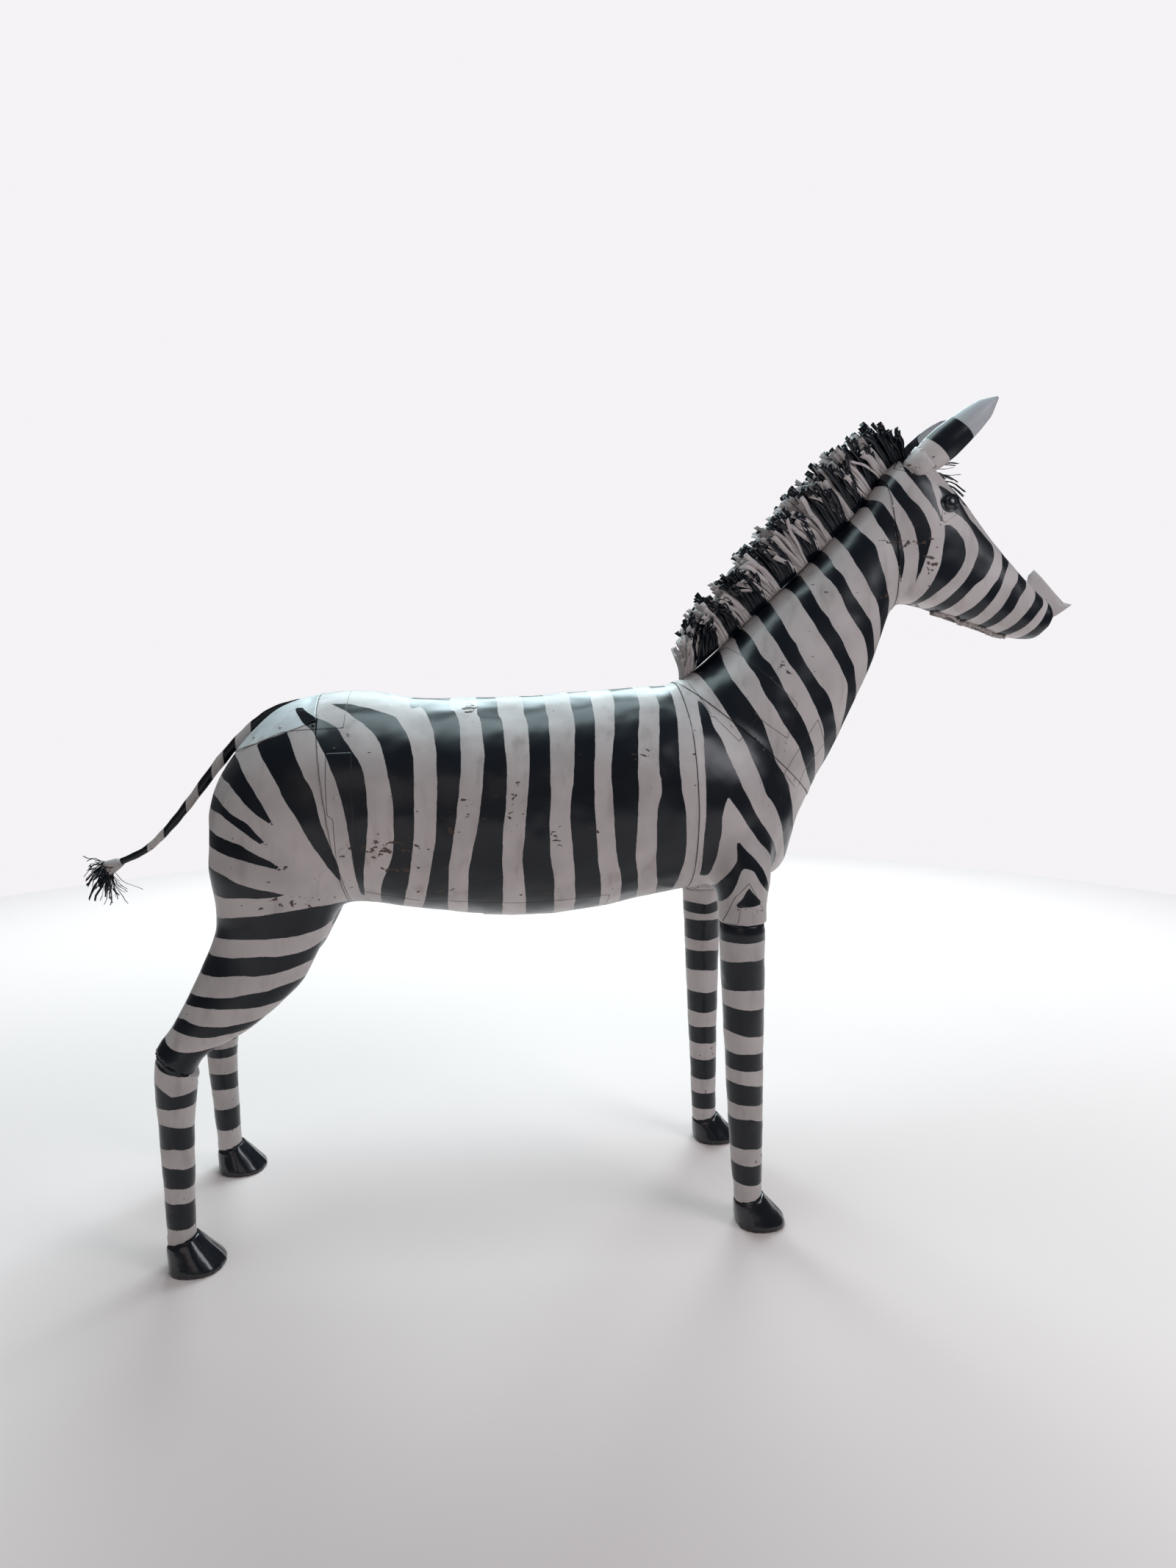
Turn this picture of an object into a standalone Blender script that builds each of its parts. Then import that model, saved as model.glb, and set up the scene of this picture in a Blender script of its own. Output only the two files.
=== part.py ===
"""Life-size zebra of painted sheet metal: rolled shells lapped at their seams, tube legs on
flared hooves, leaf ears, a mane and forelock of cut strips, and a tail with a wire tuft.

The animal faces +X, its right side is -Y, and its hooves stand on z = 0. Profiles are side-view
points (x, z) in metres, with x = 0 midway between the fore and the hind hooves."""

import math
import random

import bmesh
import bpy
from mathutils import Matrix, Vector
from mathutils.bvhtree import BVHTree

# Clearances and fineness
GAP = 0.0003
SEAT_GAP = 0.0005
SHELL_VOXEL = 0.012
SHELL_TRIANGLES = 3100
SHELL_SMOOTHING = 8

# Stance: the legs splay from the elbow or the hock to the hoof, this far from the middle plane
ELBOW_Y = 0.196
HOCK_Y = 0.186
HOOF_Y = 0.216

# Trunk, from rump to chest: x, underside z, back z, half width
TRUNK = (
    (-0.643, 0.955, 1.080, 0.095),
    (-0.621, 0.872, 1.138, 0.160),
    (-0.573, 0.818, 1.208, 0.212),
    (-0.505, 0.795, 1.284, 0.242),
    (-0.406, 0.800, 1.327, 0.258),
    (-0.289, 0.813, 1.334, 0.265),
    (-0.142, 0.783, 1.318, 0.268),
    (0.004, 0.768, 1.321, 0.270),
    (0.150, 0.765, 1.324, 0.270),
    (0.297, 0.780, 1.337, 0.264),
    (0.423, 0.804, 1.344, 0.256),
    (0.549, 0.824, 1.320, 0.244),
    (0.655, 0.850, 1.251, 0.216),
    (0.756, 0.895, 1.160, 0.158),
    (0.790, 0.960, 1.090, 0.090),
)
TRUNK_SQUARENESS = 2.2

# Neck, from withers to poll: throat point, crest point, half width
NECK = (
    (0.628, 0.822, 0.393, 1.342, 0.222),
    (0.770, 0.856, 0.490, 1.351, 0.202),
    (0.822, 1.004, 0.577, 1.414, 0.174),
    (0.920, 1.188, 0.682, 1.514, 0.142),
    (1.009, 1.371, 0.806, 1.630, 0.118),
    (1.055, 1.508, 0.920, 1.745, 0.104),
    (1.086, 1.586, 1.014, 1.849, 0.096),
)
NECK_SQUARENESS = 2.1

# Head, from behind the cheek to the muzzle: jaw point, forehead point, half width
HEAD = (
    (0.969, 1.577, 0.986, 1.825, 0.083),
    (1.041, 1.555, 1.062, 1.919, 0.098),
    (1.113, 1.554, 1.134, 1.920, 0.102),
    (1.173, 1.541, 1.210, 1.855, 0.097),
    (1.245, 1.520, 1.296, 1.768, 0.085),
    (1.326, 1.492, 1.383, 1.681, 0.072),
    (1.407, 1.468, 1.456, 1.610, 0.062),
    (1.471, 1.459, 1.511, 1.562, 0.056),
    (1.489, 1.464, 1.522, 1.546, 0.052),
)
HEAD_SQUARENESS = 2.7

# Thigh, from hip to hock: rear point, front point, y of its middle, half width
THIGH = (
    (-0.614, 1.087, -0.355, 1.085, 0.118, 0.117),
    (-0.636, 0.929, -0.340, 0.918, 0.128, 0.124),
    (-0.621, 0.808, -0.340, 0.827, 0.140, 0.106),
    (-0.663, 0.696, -0.386, 0.722, 0.152, 0.084),
    (-0.712, 0.592, -0.432, 0.642, 0.170, 0.068),
    (-0.750, 0.530, -0.547, 0.550, 0.181, 0.057),
    (-0.761, 0.480, -0.658, 0.482, HOCK_Y, 0.051),
    (-0.760, 0.399, -0.671, 0.399, HOCK_Y, 0.045),
)
THIGH_SQUARENESS = 2.2

# Upper arm, from shoulder to elbow: rear point, front point, y of its middle, half width
UPPER_ARM = (
    (0.530, 1.040, 0.700, 1.040, 0.105, 0.100),
    (0.543, 0.910, 0.709, 0.910, 0.160, 0.080),
    (0.562, 0.815, 0.691, 0.815, 0.190, 0.062),
    (0.571, 0.709, 0.682, 0.709, ELBOW_Y, 0.055),
)
UPPER_ARM_SQUARENESS = 2.1

# Leg tubes: z, rear x, front x, y of its middle
ELBOW_Z = 0.770
FORELEG = (
    (ELBOW_Z, 0.569, 0.679, ELBOW_Y),
    (0.650, 0.577, 0.680, 0.199),
    (0.500, 0.585, 0.679, 0.203),
    (0.350, 0.594, 0.679, 0.207),
    (0.200, 0.604, 0.680, 0.212),
    (0.050, 0.614, 0.683, HOOF_Y),
)
SHANK = (
    (0.570, -0.744, -0.630, HOCK_Y),
    (0.520, -0.754, -0.648, HOCK_Y),
    (0.469, -0.761, -0.660, HOCK_Y),
    (0.409, -0.760, -0.669, 0.190),
    (0.328, -0.755, -0.676, 0.196),
    (0.226, -0.749, -0.678, 0.204),
    (0.114, -0.744, -0.679, 0.212),
    (0.050, -0.742, -0.677, HOOF_Y),
)
LEG_SIDES = 16

# Hoof: a flared cone with a blunt toe, its cuff higher in front than behind
HOOF_LENGTH = 0.128
HOOF_WIDTH = 0.124
HOOF_EDGE = 0.008
HOOF_CUFF = 0.003
HOOF_SQUARENESS = 2.3
CUFF_HEEL_Z = 0.060
CUFF_TOE_Z = 0.076

# Seams, each a straight cut across the body, given by two side-view points
FLANK_SEAM = ((-0.388, 1.366), (-0.312, 0.771))
SHOULDER_SEAM = ((0.489, 1.360), (0.511, 0.770))
NECK_SEAM = ((0.472, 1.367), (0.862, 1.041))
THROAT_SEAM = ((1.011, 1.927), (1.067, 1.506))
CROUP_SEAM = ((-0.668, 1.155), (-0.320, 1.285))
HOCK_SEAM = ((-0.757, 0.520), (-0.638, 0.430))

# Ears: folded leaves rooted a little below the top of the head
EAR_ROOT_X = 1.080
EAR_ROOT_Y = 0.060
EAR_ROOT_DEPTH = 0.031
EAR_REACH = (0.208, 0.038, 0.184)
EAR_WIDTH = 0.086
EAR_FOLD = 0.030
EAR_SHEET = 0.003
EAR_ARC_DEGREES = 200
EAR_BENDS = 6
EAR_BREADTH = (0.62, 0.80, 0.95, 1.00, 0.95, 0.82, 0.60, 0.08)

# Eyes
EYE_PLACE = (1.176, 1.800)
EYE_RADIUS = 0.017
EYE_PROUD = 0.011

# Nose plate: side-view outline of a strip standing on the far side of the nose
NOSE_PLATE = (
    (1.466, 1.585),
    (1.476, 1.640),
    (1.492, 1.655),
    (1.583, 1.568),
    (1.608, 1.563),
    (1.566, 1.534),
    (1.535, 1.520),
)
NOSE_PLATE_Y = 0.026
NOSE_PLATE_SHEET = 0.004

# Mane: bundles of cut strips in a rail along the crest
MANE_CREST = (
    (0.510, 1.362),
    (0.624, 1.462),
    (0.749, 1.579),
    (0.863, 1.687),
    (0.953, 1.783),
    (1.018, 1.866),
    (1.090, 1.926),
)
MANE_BUNDLES = 16
MANE_HEIGHT = (0.140, 0.135, 0.144, 0.160, 0.163, 0.146, 0.112)
MANE_LEAN_DEGREES = (-4, 30, 36, 34, 36, 38, 34)
MANE_STRIP_WIDTH = 0.046
MANE_STRIP_THICKNESS = 0.007
MANE_RAIL_WIDTH = 0.034
MANE_STAGGER = 0.16
MANE_SPLAY = (0.030, 0.044)
MANE_CURL = (0.004, 0.018)
MANE_RAIL_DEPTH = 0.030

# Forelock: thin strips hanging between the ears
FORELOCK_ROOT_X = 1.120
FORELOCK_RISE = 0.004
FORELOCK_STRIPS = 9
FORELOCK_LENGTH = 0.150
FORELOCK_WIDTH = 0.070
FORELOCK_RAIL = 0.018
FORELOCK_DROP = (0.80, -0.42)
FORELOCK_ARCH = (0.022, 0.038)
FORELOCK_STRIP = 0.012

# Tail: a tapered tube lying on the croup, then arching back and down
TAIL_PATH = (
    (-0.440, 1.318, 0.011),
    (-0.505, 1.297, 0.014),
    (-0.571, 1.248, 0.015),
    (-0.636, 1.170, 0.013),
    (-0.708, 1.066, 0.012),
    (-0.762, 0.998, 0.011),
    (-0.815, 0.948, 0.010),
    (-0.874, 0.919, 0.009),
)
SOCKET_LENGTH = 0.036
SOCKET_RADIUS = 0.019
TUFT_STRIPS = 9
TUFT_LENGTH = 0.080
TUFT_STRIP = 0.012
TUFT_FAN = (0.8, 0.7)
TUFT_RING = 0.008

# Paint and metal: colour, roughness, metallic
FINISHES = {
    "white_paint": ((0.60, 0.58, 0.57, 1.0), 0.42, 0.0),
    "black_paint": ((0.012, 0.016, 0.022, 1.0), 0.28, 0.0),
    "pale_metal": ((0.66, 0.70, 0.73, 1.0), 0.35, 0.6),
}


def finish(name):
    """Material of one finish for one node, from the table of finishes."""
    colour, roughness, metallic = FINISHES[name]
    material = bpy.data.materials.new(name)
    material.use_nodes = True
    shader = material.node_tree.nodes["Principled BSDF"]
    shader.inputs["Base Color"].default_value = colour
    shader.inputs["Roughness"].default_value = roughness
    shader.inputs["Metallic"].default_value = metallic
    return material


def node(name, mesh, finish_name):
    """Object of this name with its own material, standing in the scene."""
    mesh.name = name
    mesh.materials.clear()
    mesh.materials.append(finish(finish_name))
    mesh.shade_smooth()
    mesh.set_sharp_from_angle(angle=math.radians(35))
    piece = bpy.data.objects.new(name, mesh)
    bpy.context.collection.objects.link(piece)
    return piece


def mesh_of(bm):
    """Mesh of a bmesh whose faces are turned outwards."""
    bmesh.ops.recalc_face_normals(bm, faces=bm.faces)
    mesh = bpy.data.meshes.new("piece")
    bm.to_mesh(mesh)
    bm.free()
    return mesh


def smooth_rows(rows, steps):
    """Rows of numbers with extra rows between them, on Catmull-Rom curves."""
    fine = []
    for i in range(len(rows) - 1):
        before = rows[max(i - 1, 0)]
        after = rows[min(i + 2, len(rows) - 1)]
        for k in range(steps):
            t = k / steps
            row = []
            for p0, p1, p2, p3 in zip(before, rows[i], rows[i + 1], after):
                bend = 2 * p0 - 5 * p1 + 4 * p2 - p3
                rise = 3 * p1 - p0 - 3 * p2 + p3
                row.append(p1 + 0.5 * t * (p2 - p0 + t * (bend + t * rise)))
            fine.append(tuple(row))
    fine.append(tuple(rows[-1]))
    return fine


def oval(low, high, y_mid, half_width, squareness, sides):
    """Closed ring of points across the body between two side-view points."""
    middle = (Vector(low) + Vector(high)) / 2
    half = (Vector(high) - Vector(low)) / 2
    ring = []
    for k in range(sides):
        angle = math.tau * k / sides
        c = math.cos(angle)
        s = math.sin(angle)
        across = math.copysign(abs(c) ** (2 / squareness), c)
        along = math.copysign(abs(s) ** (2 / squareness), s)
        place = middle + half * along
        ring.append(Vector((place.x, y_mid + half_width * across, place.y)))
    return ring


def loft(bm, rings):
    """Closed skin through rings of equally many points, capped at both ends."""
    rows = [[bm.verts.new(point) for point in ring] for ring in rings]
    for first, second in zip(rows, rows[1:]):
        for k in range(len(first)):
            after = (k + 1) % len(first)
            bm.faces.new((first[k], first[after], second[after], second[k]))
    bm.faces.new(reversed(rows[0]))
    bm.faces.new(rows[-1])


def applied(mesh, modifiers):
    """Mesh with modifiers applied: (type, {setting: value}) pairs, in order."""
    carrier = bpy.data.objects.new("carrier", mesh)
    bpy.context.collection.objects.link(carrier)
    for kind, settings in modifiers:
        modifier = carrier.modifiers.new(kind.title(), kind)
        for name, value in settings.items():
            setattr(modifier, name, value)
    shown = carrier.evaluated_get(bpy.context.evaluated_depsgraph_get())
    result = bpy.data.meshes.new_from_object(shown)
    bpy.data.objects.remove(carrier)
    return result


def body_skin():
    """One smooth skin round trunk, neck, head, thighs and upper arms, the same on both sides."""
    bm = bmesh.new()
    sides = 40
    rings = []
    for x, low, high, width in smooth_rows(TRUNK, 4):
        rings.append(oval((x, low), (x, high), 0, width, TRUNK_SQUARENESS, sides))
    loft(bm, rings)
    for rows, squareness in ((NECK, NECK_SQUARENESS), (HEAD, HEAD_SQUARENESS)):
        rings = []
        for low_x, low_z, high_x, high_z, width in smooth_rows(rows, 4):
            rings.append(oval((low_x, low_z), (high_x, high_z), 0, width, squareness, sides))
        loft(bm, rings)
    for rows, squareness in ((THIGH, THIGH_SQUARENESS), (UPPER_ARM, UPPER_ARM_SQUARENESS)):
        for side in (-1, 1):
            rings = []
            for rear_x, rear_z, front_x, front_z, y, width in smooth_rows(rows, 4):
                low = (rear_x, rear_z)
                high = (front_x, front_z)
                rings.append(oval(low, high, side * y, width, squareness, sides))
            loft(bm, rings)
    skin = applied(
        mesh_of(bm),
        (
            ("REMESH", {"mode": "VOXEL", "voxel_size": SHELL_VOXEL, "adaptivity": 0.0}),
            ("SMOOTH", {"factor": 0.5, "iterations": SHELL_SMOOTHING}),
        ),
    )
    ratio = SHELL_TRIANGLES / (2 * len(skin.polygons))
    skin = applied(skin, (("DECIMATE", {"decimate_type": "COLLAPSE", "ratio": ratio}),))
    bm = bmesh.new()
    bm.from_mesh(skin)
    everything = bm.verts[:] + bm.edges[:] + bm.faces[:]
    bmesh.ops.symmetrize(bm, input=everything, direction="-Y", dist=GAP)
    return mesh_of(bm)


def halved(mesh, place, normal):
    """Mesh without what lies beyond a plane, closed flat half a gap short of it."""
    normal = Vector(normal).normalized()
    bm = bmesh.new()
    bm.from_mesh(mesh)
    everything = bm.verts[:] + bm.edges[:] + bm.faces[:]
    bmesh.ops.bisect_plane(
        bm,
        geom=everything,
        dist=GAP / 30,
        plane_co=Vector(place) - normal * GAP / 2,
        plane_no=normal,
        clear_outer=True,
    )
    rim = [edge for edge in bm.edges if edge.is_boundary]
    filled = bmesh.ops.holes_fill(bm, edges=rim)["faces"]
    bmesh.ops.triangulate(bm, faces=filled)
    return mesh_of(bm)


def beyond(mesh, seam, keep):
    """Mesh on one side of a seam: keep is 1 for its left when walked from first to second."""
    (x0, z0), (x1, z1) = seam
    normal = Vector((z1 - z0, 0, x0 - x1)) * keep
    return halved(mesh, (x0, 0, z0), normal)


def swollen(mesh, margin):
    """Copy of a mesh grown outwards by a margin, to cut a neighbour with."""
    bm = bmesh.new()
    bm.from_mesh(mesh)
    bm.normal_update()
    places = [vert.co + vert.normal * margin for vert in bm.verts]
    for vert, place in zip(bm.verts, places):
        vert.co = place
    return mesh_of(bm)


def combined(mesh, other, operation):
    """Boolean of two meshes: DIFFERENCE or UNION."""
    tool = bpy.data.objects.new("tool", other)
    bpy.context.collection.objects.link(tool)
    settings = {"operation": operation, "object": tool, "solver": "EXACT", "use_self": True}
    result = applied(mesh, (("BOOLEAN", settings),))
    bpy.data.objects.remove(tool)
    return result


def seated(mesh, carriers):
    """Mesh cut to sit on its carriers with a hair's gap."""
    for carrier in carriers:
        mesh = combined(mesh, swollen(carrier, SEAT_GAP), "DIFFERENCE")
    return mesh


def on_surface(mesh, origin, direction):
    """Point and normal where a ray from outside first meets a mesh."""
    bm = bmesh.new()
    bm.from_mesh(mesh)
    tree = BVHTree.FromBMesh(bm)
    bm.free()
    place, normal, _, _ = tree.ray_cast(Vector(origin), Vector(direction))
    return place, normal


def leg_tube(rows, side):
    """Round tube through rows of z, rear x, front x and y."""
    bm = bmesh.new()
    rings = []
    for z, rear, front, y in rows:
        radius = (front - rear) / 2
        rings.append(oval((rear, z), (front, z), side * y, radius, 2, LEG_SIDES))
    loft(bm, rings)
    return mesh_of(bm)


def cuff_seam(foot_row):
    """Slanted seam between a leg tube, given by its lowest row, and its hoof."""
    _, rear, front, _ = foot_row
    return ((rear, CUFF_HEEL_Z), (front, CUFF_TOE_Z))


def hoof(foot_row, side):
    """Flared cone from the leg's foot to a longer, blunt-toed sole."""
    (rear, heel_z), (front, toe_z) = cuff_seam(foot_row)
    y = side * foot_row[3]
    heel = rear + 0.001
    toe = heel + HOOF_LENGTH
    sole_width = HOOF_WIDTH / 2
    cuff_width = (front - rear) / 2 + HOOF_CUFF
    bm = bmesh.new()
    rings = []
    for low, high, width in (
        ((heel + 0.003, 0.0), (toe - 0.003, 0.0), sole_width - 0.003),
        ((heel, HOOF_EDGE), (toe, HOOF_EDGE), sole_width),
        ((rear - HOOF_CUFF, heel_z), (front + HOOF_CUFF, toe_z), cuff_width),
    ):
        rings.append(oval(low, high, y, width, HOOF_SQUARENESS, LEG_SIDES))
    loft(bm, rings)
    return mesh_of(bm)


def above(head_mesh, x, y):
    """Point of the head's surface straight above a place."""
    height = max(vert.co.z for vert in head_mesh.vertices)
    place, _ = on_surface(head_mesh, (x, y, 2 * height), (0, 0, -1))
    return place


def ear(head_mesh, side):
    """Leaf of bent sheet, hollow towards the middle, drawn to a point at its tip."""
    base = above(head_mesh, EAR_ROOT_X, side * EAR_ROOT_Y) - Vector((0, 0, EAR_ROOT_DEPTH))
    tip = base + Vector((EAR_REACH[0], side * EAR_REACH[1], EAR_REACH[2]))
    axis = (tip - base).normalized()
    outward = Vector((0, side, 0))
    outward = (outward - axis * outward.dot(axis)).normalized()
    across = axis.cross(outward) * side
    bm = bmesh.new()
    rings = []
    last = len(EAR_BREADTH) - 1
    for i, leaf in enumerate(EAR_BREADTH):
        middle = base.lerp(tip, i / last)
        outer = []
        inner = []
        for k in range(EAR_BENDS + 1):
            turn = math.radians(EAR_ARC_DEGREES * (k / EAR_BENDS - 0.5))
            for row, thickness in ((outer, 0.0), (inner, EAR_SHEET)):
                wide = max(EAR_WIDTH / 2 * leaf - thickness, 0.0004)
                deep = max(EAR_FOLD * leaf - thickness, 0.0004)
                offset = across * wide * math.sin(turn) + outward * deep * math.cos(turn)
                row.append(middle + offset)
        rings.append(outer + list(reversed(inner)))
    loft(bm, rings)
    return mesh_of(bm)


def eye(head_mesh, side):
    """Domed boss set in the side of the head."""
    x, z = EYE_PLACE
    place, normal = on_surface(head_mesh, (x, side, z), (0, -side, 0))
    bm = bmesh.new()
    bmesh.ops.create_uvsphere(bm, u_segments=12, v_segments=8, radius=EYE_RADIUS)
    sink = EYE_PROUD - EYE_RADIUS
    bmesh.ops.translate(bm, verts=bm.verts, vec=place + normal * sink)
    return mesh_of(bm)


def nose_plate():
    """Flat strip along the nose, its foot sunk into the nose and its front drawn to a point."""
    near = [Vector((x, NOSE_PLATE_Y, z)) for x, z in NOSE_PLATE]
    far = [Vector((x, NOSE_PLATE_Y + NOSE_PLATE_SHEET, z)) for x, z in NOSE_PLATE]
    bm = bmesh.new()
    loft(bm, [near, far])
    return mesh_of(bm)


def strip(bm, root, tip, bend, broad, thick, width):
    """Bent strip of cut sheet from root to tip, narrowing to a slanted end."""
    rings = []
    for t, share in ((0.0, 0.8), (0.55, 1.0), (1.0, 0.45)):
        middle = root.lerp(tip, t) + bend * math.sin(math.pi * t)
        half = broad * width * share / 2
        flat = thick / 2
        rings.append([middle - half - flat, middle + half - flat, middle + half + flat,
                      middle - half + flat])
    loft(bm, rings)


def along_curve(points, t):
    """Place and direction at a share t of a smooth side-view curve."""
    fine = smooth_rows(points, 6)
    reach = t * (len(fine) - 1)
    i = min(int(reach), len(fine) - 2)
    first = Vector(fine[i])
    second = Vector(fine[i + 1])
    return first.lerp(second, reach - i), (second - first).normalized()


def value_along(values, t):
    """Straight-line value at a share t of a list of evenly spaced values."""
    reach = t * (len(values) - 1)
    i = min(int(reach), len(values) - 2)
    return values[i] + (values[i + 1] - values[i]) * (reach - i)


def mane():
    """Rail along the crest with bundles of strips that lean back and splay to both sides."""
    chance = random.Random(7)
    rail = bmesh.new()
    rings = []
    pitches = MANE_BUNDLES
    for i in range(pitches + 1):
        place, run = along_curve(MANE_CREST, i / pitches)
        up = Vector((-run.y, run.x))
        low = place - up * MANE_RAIL_DEPTH / 2
        high = place + up * MANE_RAIL_DEPTH / 2
        rings.append(oval(low, high, 0, MANE_RAIL_WIDTH / 2, 3, 6))
    loft(rail, rings)
    strips = bmesh.new()
    for bundle in range(MANE_BUNDLES):
        for lane in (-1, 0, 1):
            t = (bundle + 0.5 + MANE_STAGGER * lane) / MANE_BUNDLES
            place, run = along_curve(MANE_CREST, t)
            height = value_along(MANE_HEIGHT, t) * chance.uniform(0.86, 1.0)
            lean = math.radians(value_along(MANE_LEAN_DEGREES, t) + chance.uniform(-5, 5))
            up = Vector((-math.sin(lean), 0, math.cos(lean)))
            root = Vector((place.x, lane * MANE_RAIL_WIDTH * 0.3, place.y))
            splay = Vector((0, lane * chance.uniform(*MANE_SPLAY), 0))
            tip = root + up * height + splay
            bend = Vector((run.x, 0, run.y)) * chance.uniform(*MANE_CURL)
            bend += Vector((0, lane * 0.012, 0))
            broad = Vector((run.x, 0, run.y))
            thick = Vector((0, MANE_STRIP_THICKNESS, 0))
            strip(strips, root, tip, bend, broad, thick, MANE_STRIP_WIDTH)
    return combined(mesh_of(strips), mesh_of(rail), "UNION")


def forelock(head_mesh):
    """Short rail between the ears with thin strips that hang over the forehead."""
    chance = random.Random(11)
    place = above(head_mesh, FORELOCK_ROOT_X, 0)
    x = place.x
    z = place.z + FORELOCK_RISE
    rail = bmesh.new()
    half = FORELOCK_WIDTH / 2
    size = Matrix.Diagonal((FORELOCK_RAIL, FORELOCK_WIDTH, FORELOCK_RAIL, 1))
    matrix = Matrix.Translation((x, 0, z)) @ size
    bmesh.ops.create_cube(rail, size=1, matrix=matrix)
    strips = bmesh.new()
    for i in range(FORELOCK_STRIPS):
        share = i / (FORELOCK_STRIPS - 1) * 2 - 1
        root = Vector((x, share * half * 0.86, z))
        length = FORELOCK_LENGTH * chance.uniform(0.8, 1.0)
        fall = Vector((FORELOCK_DROP[0], share * 0.10, FORELOCK_DROP[1])).normalized()
        tip = root + fall * length
        bend = Vector((0.2, 0, 1)).normalized() * chance.uniform(*FORELOCK_ARCH)
        broad = Vector((0, 1, 0))
        thick = Vector((0.003, 0, 0.004))
        strip(strips, root, tip, bend, broad, thick, FORELOCK_STRIP)
    return combined(mesh_of(strips), mesh_of(rail), "UNION")


def tube(path, sides):
    """Round tapered tube in the middle plane through rows of x, z and radius."""
    bm = bmesh.new()
    rings = []
    fine = smooth_rows(path, 2)
    for i, (x, z, radius) in enumerate(fine):
        before = fine[max(i - 1, 0)]
        after = fine[min(i + 1, len(fine) - 1)]
        run = Vector((after[0] - before[0], after[1] - before[1])).normalized()
        up = Vector((-run.y, run.x)) * radius
        middle = Vector((x, z))
        rings.append(oval(middle - up, middle + up, 0, radius, 2, sides))
    loft(bm, rings)
    return mesh_of(bm)


def tail_tuft():
    """Flared socket on the tail's end with a bunch of strips in its mouth."""
    chance = random.Random(5)
    before, last = smooth_rows(TAIL_PATH, 2)[-2:]
    run = Vector((last[0] - before[0], last[1] - before[1])).normalized()
    start = Vector((last[0], last[1])) + run * GAP
    middle = start + run * SOCKET_LENGTH / 2
    end = start + run * SOCKET_LENGTH
    socket = tube(
        (
            (start.x, start.y, last[2] + 0.001),
            (middle.x, middle.y, (last[2] + SOCKET_RADIUS) / 2),
            (end.x, end.y, SOCKET_RADIUS),
        ),
        12,
    )
    strips = bmesh.new()
    for i in range(TUFT_STRIPS):
        angle = math.tau * i / TUFT_STRIPS
        around = Vector((-run.y * math.cos(angle), math.sin(angle), run.x * math.cos(angle)))
        forward = Vector((run.x, 0, run.y))
        root = Vector((end.x, 0, end.y)) - forward * TUFT_STRIP + around * TUFT_RING
        length = TUFT_LENGTH * chance.uniform(0.7, 1.0)
        tip = root + (forward * TUFT_FAN[0] + around * TUFT_FAN[1]).normalized() * length
        side = forward.cross(around)
        strip(strips, root, tip, forward * TUFT_STRIP, side, around * 0.004, TUFT_STRIP)
    return combined(mesh_of(strips), socket, "UNION")


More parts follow.
